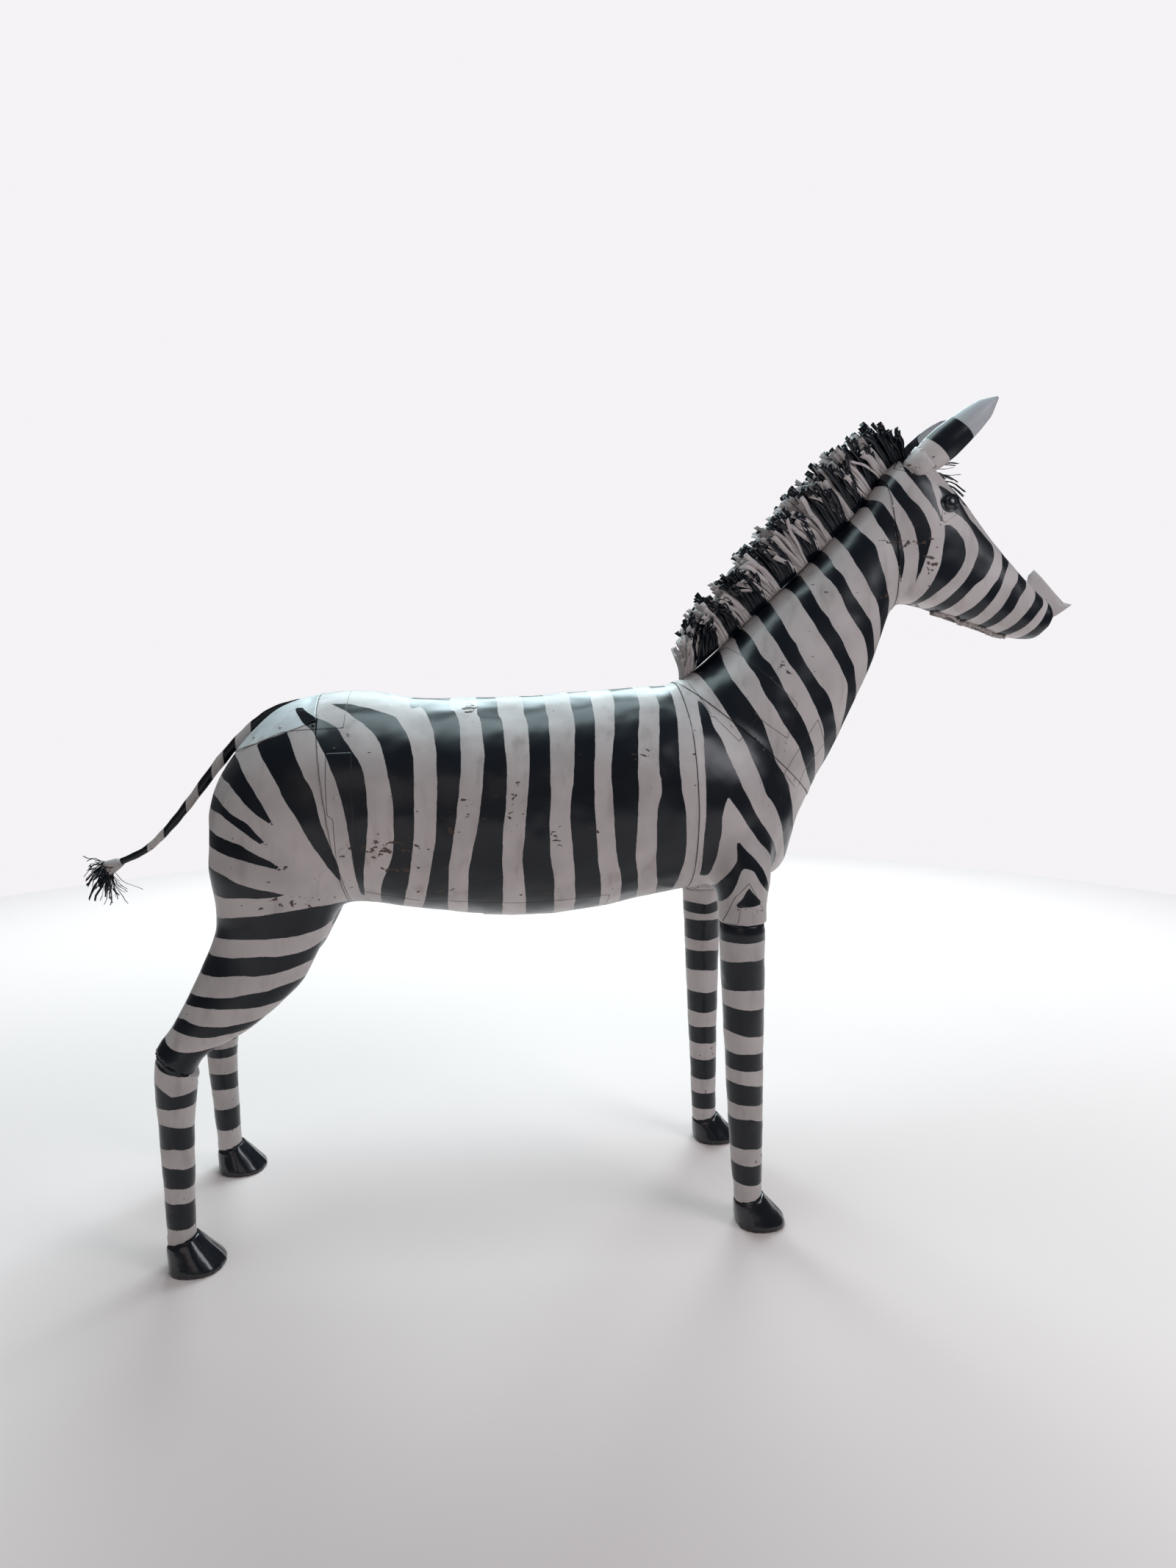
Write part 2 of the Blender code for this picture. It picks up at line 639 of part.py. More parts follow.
def main():
    for item in list(bpy.data.objects):
        bpy.data.objects.remove(item)

    skin = body_skin()
    rear = beyond(skin, FLANK_SEAM, -1)
    croup_mesh = beyond(rear, CROUP_SEAM, 1)
    haunches = beyond(beyond(rear, CROUP_SEAM, -1), HOCK_SEAM, 1)
    front = beyond(skin, SHOULDER_SEAM, 1)
    barrel_mesh = beyond(beyond(skin, FLANK_SEAM, 1), SHOULDER_SEAM, -1)
    upper = beyond(front, NECK_SEAM, 1)
    neck_mesh = beyond(upper, THROAT_SEAM, -1)
    head_mesh = beyond(upper, THROAT_SEAM, 1)
    shoulders_mesh = halved(beyond(front, NECK_SEAM, -1), (0, 0, ELBOW_Z), (0, 0, -1))

    pieces = [
        node("croup", croup_mesh, "white_paint"),
        node("barrel", barrel_mesh, "white_paint"),
        node("shoulders", shoulders_mesh, "white_paint"),
        node("neck", neck_mesh, "white_paint"),
        node("head", head_mesh, "white_paint"),
    ]
    for word, side in (("right", -1), ("left", 1)):
        haunch = halved(haunches, (0, 0, 0), (0, -side, 0))
        pieces.append(node(f"haunch_{word}", haunch, "white_paint"))
        foreleg = leg_tube(FORELEG, side)
        foreleg = beyond(halved(foreleg, (0, 0, ELBOW_Z), (0, 0, 1)), cuff_seam(FORELEG[-1]), 1)
        pieces.append(node(f"foreleg_{word}", foreleg, "white_paint"))
        shank = beyond(leg_tube(SHANK, side), HOCK_SEAM, -1)
        shank = beyond(shank, cuff_seam(SHANK[-1]), 1)
        pieces.append(node(f"shank_{word}", shank, "white_paint"))
        fore = beyond(hoof(FORELEG[-1], side), cuff_seam(FORELEG[-1]), -1)
        pieces.append(node(f"fore_hoof_{word}", fore, "black_paint"))
        hind = beyond(hoof(SHANK[-1], side), cuff_seam(SHANK[-1]), -1)
        pieces.append(node(f"hind_hoof_{word}", hind, "black_paint"))
        ear_mesh = seated(ear(head_mesh, side), (head_mesh,))
        pieces.append(node(f"ear_{word}", ear_mesh, "white_paint"))
        eye_mesh = seated(eye(head_mesh, side), (head_mesh,))
        pieces.append(node(f"eye_{word}", eye_mesh, "black_paint"))
    crest = (neck_mesh, head_mesh, shoulders_mesh, barrel_mesh)
    mane_mesh = seated(mane(), crest)
    forelock_mesh = seated(forelock(head_mesh), (head_mesh,))
    tail_mesh = seated(tube(TAIL_PATH, 8), (croup_mesh, barrel_mesh))
    plate = seated(nose_plate(), (head_mesh,))
    pieces += [
        node("nose_plate", plate, "pale_metal"),
        node("mane", mane_mesh, "black_paint"),
        node("forelock", forelock_mesh, "black_paint"),
        node("tail", tail_mesh, "black_paint"),
        node("tail_tuft", tail_tuft(), "white_paint"),
    ]

    # The part's origin is on the floor, under the middle of its whole box
    corners = [vert.co for piece in pieces for vert in piece.data.vertices]
    middle_x = (min(c.x for c in corners) + max(c.x for c in corners)) / 2
    middle_y = (min(c.y for c in corners) + max(c.y for c in corners)) / 2
    stand = bpy.data.objects.new("stand", None)
    bpy.context.collection.objects.link(stand)
    stand.location = (-middle_x, -middle_y, 0)
    for piece in pieces:
        piece.parent = stand


main()
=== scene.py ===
import math
import random

import bmesh
import bpy
import numpy as np
from mathutils import Matrix, Vector, noise
from mathutils.bvhtree import BVHTree


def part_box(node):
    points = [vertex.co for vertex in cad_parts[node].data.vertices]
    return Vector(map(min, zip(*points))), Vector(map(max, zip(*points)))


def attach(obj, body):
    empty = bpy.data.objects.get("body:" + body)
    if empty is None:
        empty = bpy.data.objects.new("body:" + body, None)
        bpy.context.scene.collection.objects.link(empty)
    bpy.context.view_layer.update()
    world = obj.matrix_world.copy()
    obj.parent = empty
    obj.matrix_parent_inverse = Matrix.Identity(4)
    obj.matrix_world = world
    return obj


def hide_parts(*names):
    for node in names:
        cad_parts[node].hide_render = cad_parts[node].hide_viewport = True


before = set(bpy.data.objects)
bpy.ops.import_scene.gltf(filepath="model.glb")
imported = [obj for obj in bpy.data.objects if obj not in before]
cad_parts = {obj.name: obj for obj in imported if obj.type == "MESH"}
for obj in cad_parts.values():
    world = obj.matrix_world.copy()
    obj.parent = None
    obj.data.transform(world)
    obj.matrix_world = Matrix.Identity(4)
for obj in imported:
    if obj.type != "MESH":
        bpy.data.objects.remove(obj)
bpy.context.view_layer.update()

# Body shells: croup, barrel, shoulders, neck, head and two haunches.
# Rolled and hammered drum steel, lapped, riveted and tack welded along the seams,
# then brushed white and striped by hand in black gloss.

SHELLS = ("croup", "barrel", "shoulders", "neck", "head", "haunch_left", "haunch_right")
SHEET = 0.002
SKIN_GRID = 0.0064
LIFT = 0.0018
LAP_WIDTH = 0.018
ELBOW_LEVEL = 0.770
NOSE_END = 1.52
FAR_SIDE_WEAR = 0.35

# The lowered border at the hock: how wide it is, how far it opens and how far it comes down
HOCK_BORDER = 0.014
HOCK_FLARE = 0.0042
HOCK_DROP = 0.006

# Smoothing: how far from the open ends it starts, and its passes
PLANISHING = ((0.022, 34), (0.008, 5))

# Places along the body are given from the middle between the fore and the hind hooves
fore_low, fore_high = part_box("fore_hoof_right")
hind_low, hind_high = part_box("hind_hoof_right")
STANCE = (fore_low.x + fore_high.x + hind_low.x + hind_high.x) / 4 + 0.001

# Seams as side-view lines, the forward or upper side being on the left of each line
FLANK_SEAM = ((-0.388, 1.366), (-0.312, 0.771))
SHOULDER_SEAM = ((0.489, 1.360), (0.511, 0.770))
NECK_SEAM = ((0.472, 1.367), (0.862, 1.041))
THROAT_SEAM = ((1.011, 1.927), (1.067, 1.506))
CROUP_SEAM = ((-0.668, 1.155), (-0.320, 1.285))
HOCK_SEAM = ((-0.757, 0.520), (-0.638, 0.430))
SEAMS = (FLANK_SEAM, SHOULDER_SEAM, NECK_SEAM, THROAT_SEAM, CROUP_SEAM)

# Seams at the border of each shell, and the side of it whose border is lifted over its neighbour
BORDERS = {
    "croup": ((FLANK_SEAM, -1), (CROUP_SEAM, 1)),
    "barrel": ((FLANK_SEAM, 1), (SHOULDER_SEAM, 0)),
    "shoulders": ((SHOULDER_SEAM, 1), (NECK_SEAM, 0)),
    "neck": ((NECK_SEAM, 1), (THROAT_SEAM, 0)),
    "head": ((THROAT_SEAM, 1),),
    "haunch_left": ((FLANK_SEAM, 0), (CROUP_SEAM, 0)),
    "haunch_right": ((FLANK_SEAM, 0), (CROUP_SEAM, 0)),
}

# Outlines of the paint and the laid sheets are side-view points in millimetres: along the body
# from the middle of the stance, then up from the floor.

# Black wedges of the haunch, from the back edge to the point: upper edge, lower edge, point
WEDGES = (
    (
        ((-560, 1178), (-525, 1136), (-490, 1088), (-475, 1060)),
        ((-583, 1131), (-545, 1103), (-508, 1067), (-485, 1050)),
        (-463, 1036),
    ),
    (
        ((-602, 1090), (-562, 1063), (-525, 1042), (-502, 1020), (-485, 1002)),
        ((-610, 1062), (-583, 1056), (-555, 1038), (-525, 1018), (-497, 998)),
        (-475, 993),
    ),
    (
        ((-618, 1018), (-580, 1006), (-540, 994), (-520, 982), (-483, 963), (-463, 950)),
        ((-620, 984), (-568, 968), (-528, 958), (-490, 947), (-463, 939)),
        (-443, 932),
    ),
    (
        ((-618, 937), (-580, 925), (-542, 907), (-495, 893), (-455, 883)),
        ((-600, 873), (-555, 873), (-490, 874), (-445, 875)),
        (-425, 873),
    ),
)

# Black stripes of the flank that end in points: rear edge, front edge
FLANK_STRIPES = (
    (
        ((-508, 1210), (-480, 1170), (-457, 1133), (-438, 1095), (-410, 1050), (-390, 1010),
         (-367, 968), (-350, 935), (-332, 905), (-326, 900)),
        ((-437, 1238), (-420, 1203), (-397, 1150), (-378, 1118), (-368, 1083), (-360, 1048),
         (-348, 1010), (-337, 973), (-328, 945), (-326, 900)),
    ),
    (
        ((-430, 1290), (-405, 1262), (-378, 1240), (-352, 1198), (-337, 1163), (-323, 1130),
         (-311, 1080), (-301, 1025), (-297, 980), (-293, 918), (-287, 853)),
        ((-412, 1292), (-380, 1275), (-332, 1253), (-312, 1230), (-288, 1197), (-268, 1163),
         (-262, 1135), (-257, 1083), (-257, 1040), (-262, 993), (-270, 943), (-277, 890),
         (-280, 855)),
    ),
)

# Black stripes of the barrel, which run over the back and under the belly: rear edge, front edge
BARREL_STRIPES = (
    (
        ((-345, 1302), (-312, 1287), (-284, 1268), (-250, 1243), (-232, 1218), (-222, 1190),
         (-212, 1153), (-204, 1108), (-201, 1045), (-202, 1000), (-210, 953), (-228, 910),
         (-240, 870), (-243, 850)),
        ((-310, 1303), (-270, 1295), (-235, 1286), (-205, 1275), (-190, 1262), (-177, 1245),
         (-165, 1222), (-158, 1187), (-155, 1142), (-155, 1080), (-157, 1025), (-162, 965),
         (-170, 915), (-183, 860), (-192, 825)),
    ),
    (
        ((-170, 1302), (-145, 1295), (-128, 1277), (-115, 1250), (-108, 1215), (-105, 1170),
         (-104, 1107), (-107, 1052), (-110, 998), (-117, 960), (-127, 907), (-137, 855),
         (-148, 820)),
        ((-77, 1300), (-65, 1287), (-55, 1260), (-51, 1215), (-51, 1160), (-56, 1105), (-62, 1058),
         (-69, 1003), (-77, 955), (-83, 910), (-88, 805)),
    ),
    (
        ((-12, 1293), (-6, 1268), (0, 1227), (3, 1190), (-1, 1160), (-3, 1115), (-9, 1070),
         (-16, 1023), (-26, 977), (-34, 938), (-38, 898), (-41, 803)),
        ((36, 1295), (45, 1260), (48, 1222), (52, 1177), (51, 1123), (48, 1070), (42, 1015),
         (40, 958), (41, 908), (43, 798)),
    ),
    (
        ((98, 1296), (104, 1258), (105, 1213), (104, 1150), (100, 1112), (95, 1068), (91, 1007),
         (86, 955), (89, 905), (95, 860), (100, 797)),
        ((151, 1297), (154, 1262), (153, 1212), (151, 1157), (151, 1100), (148, 1047), (148, 995),
         (152, 943), (160, 892), (168, 795)),
    ),
    (
        ((212, 1302), (213, 1272), (212, 1235), (207, 1175), (201, 1118), (195, 1055), (198, 1007),
         (203, 955), (208, 902), (217, 808)),
        ((262, 1305), (262, 1277), (260, 1245), (256, 1193), (252, 1147), (252, 1100), (253, 1048),
         (257, 992), (263, 940), (272, 890), (280, 820)),
    ),
    (
        ((316, 1313), (310, 1277), (306, 1240), (296, 1198), (292, 1147), (293, 1100), (296, 1045),
         (301, 987), (308, 940), (320, 900), (330, 835)),
        ((376, 1313), (370, 1277), (362, 1238), (357, 1197), (355, 1150), (355, 1110), (354, 1050),
         (353, 993), (352, 947), (363, 897), (372, 845)),
    ),
    (
        ((422, 1318), (418, 1275), (412, 1237), (407, 1193), (405, 1146), (409, 1122), (408, 1095),
         (401, 1060), (400, 1005), (403, 947), (410, 905), (420, 860)),
        ((463, 1322), (462, 1293), (460, 1255), (456, 1208), (455, 1160), (459, 1105), (466, 1068),
         (471, 1020), (474, 970), (475, 925), (470, 875)),
    ),
)

# Black bent stripes of the shoulder, each a closed outline
SHOULDER_PATCHES = (
    ((523, 1305), (521, 1270), (520, 1222), (517, 1163), (517, 1098), (518, 1040), (517, 985),
     (520, 935), (523, 905), (522, 885), (540, 885), (548, 910), (555, 945), (560, 997),
     (560, 1042), (573, 1080), (585, 1070), (608, 1040), (628, 1012), (655, 975), (680, 950),
     (700, 925), (712, 885), (725, 890), (725, 930), (695, 980), (665, 1015), (643, 1050),
     (633, 1070), (615, 1100), (600, 1133), (590, 1157), (578, 1185), (568, 1217), (553, 1245),
     (545, 1282), (530, 1308)),
    ((545, 822), (562, 870), (583, 900), (600, 930), (602, 972), (618, 957), (645, 930), (668, 900),
     (680, 870), (688, 845), (668, 860), (652, 880), (640, 900), (625, 908), (612, 908), (603, 890),
     (588, 850), (572, 828), (558, 815)),
    ((626, 865), (612, 840), (597, 818), (628, 818), (658, 825), (642, 845)),
)

# Black stripes of the neck, from the crest to the throat: rear edge, front edge
NECK_STRIPES = (
    (
        ((540, 1377), (553, 1352), (567, 1322), (580, 1297), (600, 1262), (620, 1228), (635, 1197),
         (648, 1163), (667, 1120), (680, 1085), (700, 1060), (722, 1020), (742, 970)),
        ((605, 1420), (603, 1392), (613, 1357), (628, 1333), (645, 1307), (660, 1282), (678, 1253),
         (695, 1205), (708, 1165), (732, 1132), (748, 1105), (758, 1078), (770, 1035)),
    ),
    (
        ((642, 1452), (643, 1427), (655, 1392), (672, 1362), (688, 1322), (712, 1287), (733, 1252),
         (755, 1222), (777, 1192), (795, 1155), (810, 1125), (820, 1110)),
        ((675, 1455), (688, 1420), (705, 1397), (725, 1360), (742, 1325), (760, 1297), (785, 1262),
         (800, 1232), (820, 1195), (832, 1157)),
    ),
    (
        ((700, 1520), (707, 1485), (722, 1457), (735, 1430), (753, 1398), (775, 1368), (798, 1332),
         (818, 1298), (830, 1275), (848, 1240), (860, 1197)),
        ((735, 1557), (735, 1538), (745, 1503), (757, 1470), (773, 1447), (783, 1420), (803, 1385),
         (828, 1352), (850, 1330), (868, 1300), (895, 1240)),
    ),
    (
        ((775, 1595), (790, 1562), (803, 1530), (820, 1498), (838, 1465), (860, 1433), (882, 1402),
         (897, 1378), (915, 1347), (920, 1297)),
        ((810, 1632), (815, 1605), (825, 1570), (840, 1535), (855, 1513), (873, 1483), (892, 1455),
         (912, 1420), (930, 1392), (945, 1350), (955, 1325)),
    ),
    (
        ((840, 1675), (848, 1648), (857, 1618), (873, 1597), (888, 1570), (903, 1535), (922, 1507),
         (948, 1475), (965, 1443), (980, 1397)),
        ((872, 1697), (876, 1672), (883, 1640), (897, 1617), (913, 1585), (930, 1557), (955, 1525),
         (975, 1498), (990, 1460)),
    ),
    (
        ((905, 1735), (907, 1708), (920, 1675), (932, 1645), (948, 1620), (963, 1593), (978, 1567),
         (993, 1540), (1003, 1512)),
        ((953, 1785), (945, 1757), (952, 1733), (970, 1710), (985, 1688), (993, 1655), (1005, 1622),
         (1017, 1590), (1030, 1560), (1035, 1530)),
    ),
)

# Black stripes behind the cheek that end in points: rear edge, front edge
POLL_STRIPES = (
    (
        ((960, 1797), (980, 1795), (985, 1770), (997, 1742), (1013, 1713), (1030, 1686),
         (1043, 1652), (1052, 1625), (1060, 1603)),
        ((985, 1832), (988, 1815), (1005, 1802), (1023, 1772), (1040, 1737), (1050, 1710),
         (1060, 1672), (1063, 1638), (1060, 1603)),
    ),
    (
        ((1000, 1855), (1018, 1842), (1030, 1817), (1048, 1790), (1068, 1762), (1083, 1730),
         (1095, 1697), (1100, 1660), (1100, 1608)),
        ((1025, 1885), (1035, 1870), (1048, 1843), (1068, 1813), (1097, 1785), (1115, 1757),
         (1127, 1725), (1125, 1692), (1118, 1660), (1108, 1625), (1100, 1602)),
    ),
    (
        ((1065, 1905), (1065, 1878), (1090, 1837), (1115, 1805), (1135, 1780), (1153, 1752)),
        ((1095, 1930), (1100, 1910), (1107, 1882), (1122, 1858), (1132, 1826), (1142, 1795),
         (1152, 1770), (1160, 1750)),
    ),
)

# Black stripes of the face, from the forehead to the jaw: rear edge, front edge
FACE_STRIPES = (
    (
        ((1162, 1747), (1165, 1722), (1163, 1686), (1160, 1653), (1150, 1618), (1137, 1588),
         (1120, 1560), (1100, 1545)),
        ((1180, 1747), (1203, 1730), (1220, 1710), (1228, 1685), (1227, 1662), (1210, 1630),
         (1192, 1608), (1170, 1588), (1147, 1565), (1130, 1553)),
    ),
    (
        ((1208, 1772), (1235, 1752), (1250, 1732), (1263, 1706), (1265, 1682), (1258, 1657),
         (1243, 1627), (1225, 1600), (1202, 1573), (1180, 1552), (1160, 1540)),
        ((1240, 1765), (1270, 1742), (1297, 1718), (1313, 1700), (1315, 1673), (1303, 1643),
         (1287, 1620), (1265, 1603), (1247, 1583), (1225, 1557), (1200, 1535)),
    ),
    (
        ((1345, 1680), (1340, 1650), (1330, 1622), (1313, 1600), (1293, 1573), (1270, 1548),
         (1240, 1522)),
        ((1368, 1660), (1353, 1635), (1343, 1612), (1333, 1587), (1312, 1555), (1295, 1530),
         (1272, 1507)),
    ),
    (
        ((1397, 1633), (1387, 1610), (1372, 1592), (1362, 1570), (1347, 1543), (1330, 1523),
         (1310, 1497)),
        ((1425, 1615), (1415, 1595), (1397, 1572), (1385, 1547), (1368, 1525), (1350, 1507),
         (1335, 1495)),
    ),
    (
        ((1453, 1592), (1445, 1570), (1430, 1548), (1413, 1527), (1393, 1503), (1367, 1482)),
        ((1478, 1572), (1470, 1550), (1452, 1530), (1437, 1512), (1412, 1490), (1385, 1470)),
    ),
)

# Black patch round the eye, the black forehead and the black muzzle
FACE_PATCHES = (
    ((1128, 1906), (1150, 1893), (1178, 1862), (1200, 1836), (1222, 1812), (1236, 1800),
     (1320, 1800), (1230, 1960)),
    ((1145, 1845), (1200, 1822), (1240, 1765), (1225, 1765), (1200, 1775), (1180, 1785),
     (1160, 1800), (1155, 1823)),
    ((1500, 1570), (1488, 1547), (1475, 1525), (1464, 1508), (1450, 1490), (1428, 1468),
     (1390, 1430), (1600, 1400), (1600, 1600)),
)

# Black bands round the thigh, from behind to in front: upper edge, lower edge
THIGH_BANDS = (
    (
        ((-600, 820), (-550, 828), (-500, 833), (-463, 838), (-420, 843), (-385, 845), (-345, 840)),
        ((-612, 773), (-550, 777), (-503, 777), (-470, 778), (-430, 780), (-400, 783), (-373, 790),
         (-350, 800)),
    ),
    (
        ((-627, 735), (-600, 733), (-555, 735), (-507, 737), (-453, 735), (-413, 740), (-390, 748)),
        ((-650, 690), (-602, 690), (-553, 693), (-507, 692), (-463, 697), (-415, 707)),
    ),
    (
        ((-672, 645), (-635, 645), (-603, 643), (-560, 647), (-505, 655), (-447, 665)),
        ((-683, 622), (-652, 622), (-603, 618), (-557, 617), (-520, 618), (-480, 622)),
    ),
    (
        ((-702, 590), (-683, 593), (-655, 583), (-607, 578), (-583, 577), (-530, 583)),
        ((-713, 567), (-685, 562), (-655, 555), (-617, 553), (-585, 557), (-545, 562)),
    ),
    (
        ((-730, 542), (-717, 533), (-690, 522), (-663, 520), (-625, 523)),
        ((-752, 493), (-730, 478), (-700, 465), (-675, 460), (-657, 467)),
    ),
)

# Sheets laid over the shells, each a closed side-view outline
LAID_SHEETS = (
    ((-347, 1195), (-347, 1130), (-345, 1060), (-333, 1050), (-330, 950), (-315, 835), (-315, 700),
     (300, 700), (300, 842), (80, 830), (-150, 842), (-288, 868), (-296, 960), (-290, 1060),
     (-292, 1197)),
    ((-720, 1130), (-565, 1197), (-508, 1215), (-450, 1240), (-415, 1245), (-312, 1250),
     (-312, 1400), (-720, 1400)),
    ((500, 1380), (552, 1275), (615, 1210), (665, 1268), (690, 1250), (742, 1215), (770, 1300),
     (620, 1440)),
    ((735, 1130), (780, 1085), (797, 1132), (860, 1200), (830, 1260)),
    ((1120, 1560), (1205, 1528), (1300, 1497), (1360, 1483), (1360, 1400), (1120, 1400)),
    ((1158, 1803), (1155, 1762), (1162, 1750), (1200, 1775), (1194, 1802)),
    ((1045, 1890), (1090, 1945), (1155, 1910), (1130, 1880), (1080, 1868)),
    ((570, 775), (593, 839), (627, 875), (668, 803), (609, 822), (600, 775)),
)

# Scuffed places in metres: side-view middle, reach along and up, and then the strength
SCUFFS = (
    (-0.215, 0.985, 0.070, 0.022, 1.0),
    (-0.190, 0.930, 0.075, 0.006, 0.9),
    (-0.100, 0.870, 0.065, 0.006, 0.8),
    (-0.185, 1.100, 0.070, 0.004, 0.7),
    (-0.045, 1.085, 0.012, 0.012, 1.0),
    (-0.040, 1.050, 0.014, 0.010, 1.0),
    (-0.065, 1.020, 0.014, 0.012, 0.9),
    (-0.300, 0.975, 0.020, 0.012, 1.0),
    (-0.440, 0.940, 0.004, 0.014, 0.9),
    (0.065, 1.090, 0.022, 0.045, 0.7),
    (0.170, 1.010, 0.020, 0.030, 0.6),
    (0.250, 1.010, 0.015, 0.015, 0.7),
    (0.360, 1.185, 0.020, 0.020, 0.7),
    (0.740, 1.390, 0.018, 0.018, 0.8),
    (0.810, 1.410, 0.014, 0.014, 0.7),
    (0.853, 1.570, 0.006, 0.006, 1.2),
    (1.060, 1.700, 0.060, 0.008, 1.3),
    (1.135, 1.660, 0.016, 0.045, 0.9),
    (1.025, 1.570, 0.018, 0.012, 0.8),
    (-0.440, 0.857, 0.075, 0.014, 0.8),
    (-0.030, 1.290, 0.016, 0.010, 1.4),
    (0.170, 0.860, 0.120, 0.006, 0.6),
)


# Distances to outlines and seams are followed no further than this
REACH = 0.03


def bowed(points, steps=6):
    """Points with more points between them, on a smooth bend through all of them."""
    p = np.array(points, float)
    here = p[:-1]
    there = p[1:]
    before = np.vstack((p[:1], p[:-2]))
    after = np.vstack((p[2:], p[-1:]))
    line = []
    for t in np.arange(steps) / steps:
        cube = t * (3 * here - before - 3 * there + after)
        square = t * (2 * before - 5 * here + 4 * there - after + cube)
        line.append(here + 0.5 * t * (there - before + square))
    return np.vstack((np.stack(line, 1).reshape(-1, 2), p[-1:]))


def stretched(line, start, end):
    """A line drawn out at its two ends by these lengths."""
    line = np.array(line, float)
    head = line[0] - line[2]
    foot = line[-1] - line[-3]
    parts = [line]
    if start:
        parts.insert(0, (line[0] + head / np.linalg.norm(head) * start)[None])
    if end:
        parts.append((line[-1] + foot / np.linalg.norm(foot) * end)[None])
    return np.vstack(parts)


def between(edge, other, start, end):
    """Closed outline of a stripe between two edges, drawn out at its ends."""
    one = stretched(bowed(edge) / 1000, start, end)
    two = stretched(bowed(other) / 1000, start, end)
    return np.vstack((one, two[::-1]))


def raised(points, rise):
    """Points with one more above the first, for a stripe that runs over the back."""
    return ((points[0][0], points[0][1] + rise),) + tuple(points)


def inside_distance(spots, outline):
    """How far each side-view spot is inside a closed outline; outside it is less than nothing."""
    result = np.full(len(spots), -REACH)
    low = outline.min(0) - REACH
    high = outline.max(0) + REACH
    near = np.where(((spots > low) & (spots < high)).all(1))[0]
    start = outline
    end = np.roll(outline, -1, 0)
    run = end - start
    length = np.maximum((run**2).sum(1), 1e-12)
    for block in np.array_split(near, max(1, len(near) // 4000)):
        x, z = spots[block].T
        along_x = x[:, None] - start[:, 0]
        along_z = z[:, None] - start[:, 1]
        share = np.clip((along_x * run[:, 0] + along_z * run[:, 1]) / length, 0, 1)
        off = np.hypot(along_x - share * run[:, 0], along_z - share * run[:, 1]).min(1)
        over = (start[:, 1] > z[:, None]) != (end[:, 1] > z[:, None])
        rise = np.where(np.abs(run[:, 1]) < 1e-12, 1e-12, run[:, 1])
        crossing = x[:, None] < start[:, 0] + along_z * run[:, 0] / rise
        inside = (over & crossing).sum(1) % 2 == 1
        result[block] = np.maximum(np.where(inside, off, -off), -REACH)
    return result


def most_inside(spots, outlines):
    """How far each spot is inside the outline that holds it best."""
    return np.max([inside_distance(spots, outline) for outline in outlines], axis=0)


def ahead(seam, spots):
    """How far each spot lies on the forward or upper side of a seam."""
    (x1, z1), (x2, z2) = seam
    length = math.hypot(x2 - x1, z2 - z1)
    return ((x2 - x1) * (spots[:, 1] - z1) - (z2 - z1) * (spots[:, 0] - x1)) / length


def joined_solids(names):
    """Sheet forms of these parts in one bmesh, with their loose triangles merged."""
    blank = bmesh.new()
    for name in names:
        blank.from_mesh(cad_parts[name].data)
    bmesh.ops.remove_doubles(blank, verts=blank.verts, dist=0.00005)
    return blank


def bridged(bm, before, row):
    """Joins a row of edges to the one before it, and gives it back as the next one's start."""
    if before:
        bmesh.ops.bridge_loops(bm, edges=before + row)
    return row


def turned_to(bm, outward):
    """Turns the faces of an open sheet to one side."""
    bmesh.ops.recalc_face_normals(bm, faces=bm.faces)
    if sum(face.normal.dot(outward) for face in bm.faces) < 0:
        bmesh.ops.reverse_faces(bm, faces=bm.faces)


def made(bm, name):
    """Object of a bmesh, standing in the scene and smooth shaded."""
    mesh = bpy.data.meshes.new(name)
    bm.to_mesh(mesh)
    bm.free()
    mesh.shade_smooth()
    piece = bpy.data.objects.new(name, mesh)
    bpy.context.collection.objects.link(piece)
    return piece


def fine_skin(blank, grid):
    """The same form as a fine, even net of faces."""
    block = made(blank, "block")
    net = block.modifiers.new("net", "REMESH")
    net.mode = "VOXEL"
    net.voxel_size = grid
    bpy.context.view_layer.update()
    ready = block.evaluated_get(bpy.context.evaluated_depsgraph_get())
    skin = bmesh.new()
    skin.from_mesh(ready.to_mesh())
    bpy.data.objects.remove(block)
    return skin


def planished(skin, verts, passes):
    """Rubs the flats out of these vertices."""
    for _ in range(passes):
        bmesh.ops.smooth_vert(
            skin, verts=verts, factor=0.5, use_axis_x=True, use_axis_y=True, use_axis_z=True
        )


def side_spots(piece):
    """Side-view places of a piece's vertices, from the middle of the stance."""
    places = np.empty(len(piece.data.vertices) * 3)
    piece.data.vertices.foreach_get("co", places)
    places = places.reshape(-1, 3)
    return places, np.stack((places[:, 0] - STANCE, places[:, 2]), 1)


def marked(piece, name, values):
    """Writes a number for each vertex of a piece, or the same number for all of them."""
    every = np.empty(len(piece.data.vertices), np.float32)
    every[:] = values
    layer = piece.data.attributes.new(name, "FLOAT", "POINT")
    layer.data.foreach_set("value", every)


def thickened(piece, thickness, side):
    """Gives a surface the thickness of its sheet: inward -1, both ways 0, outward 1."""
    sheet = piece.modifiers.new("sheet", "SOLIDIFY")
    sheet.thickness = thickness
    sheet.offset = side


def blank_paint(name):
    """New material with its node tree, its shader and the object's own coordinates."""
    material = bpy.data.materials.new(name)
    material.use_nodes = True
    tree = material.node_tree
    place = tree.nodes.new("ShaderNodeTexCoord").outputs["Object"]
    return material, tree, tree.nodes["Principled BSDF"], place


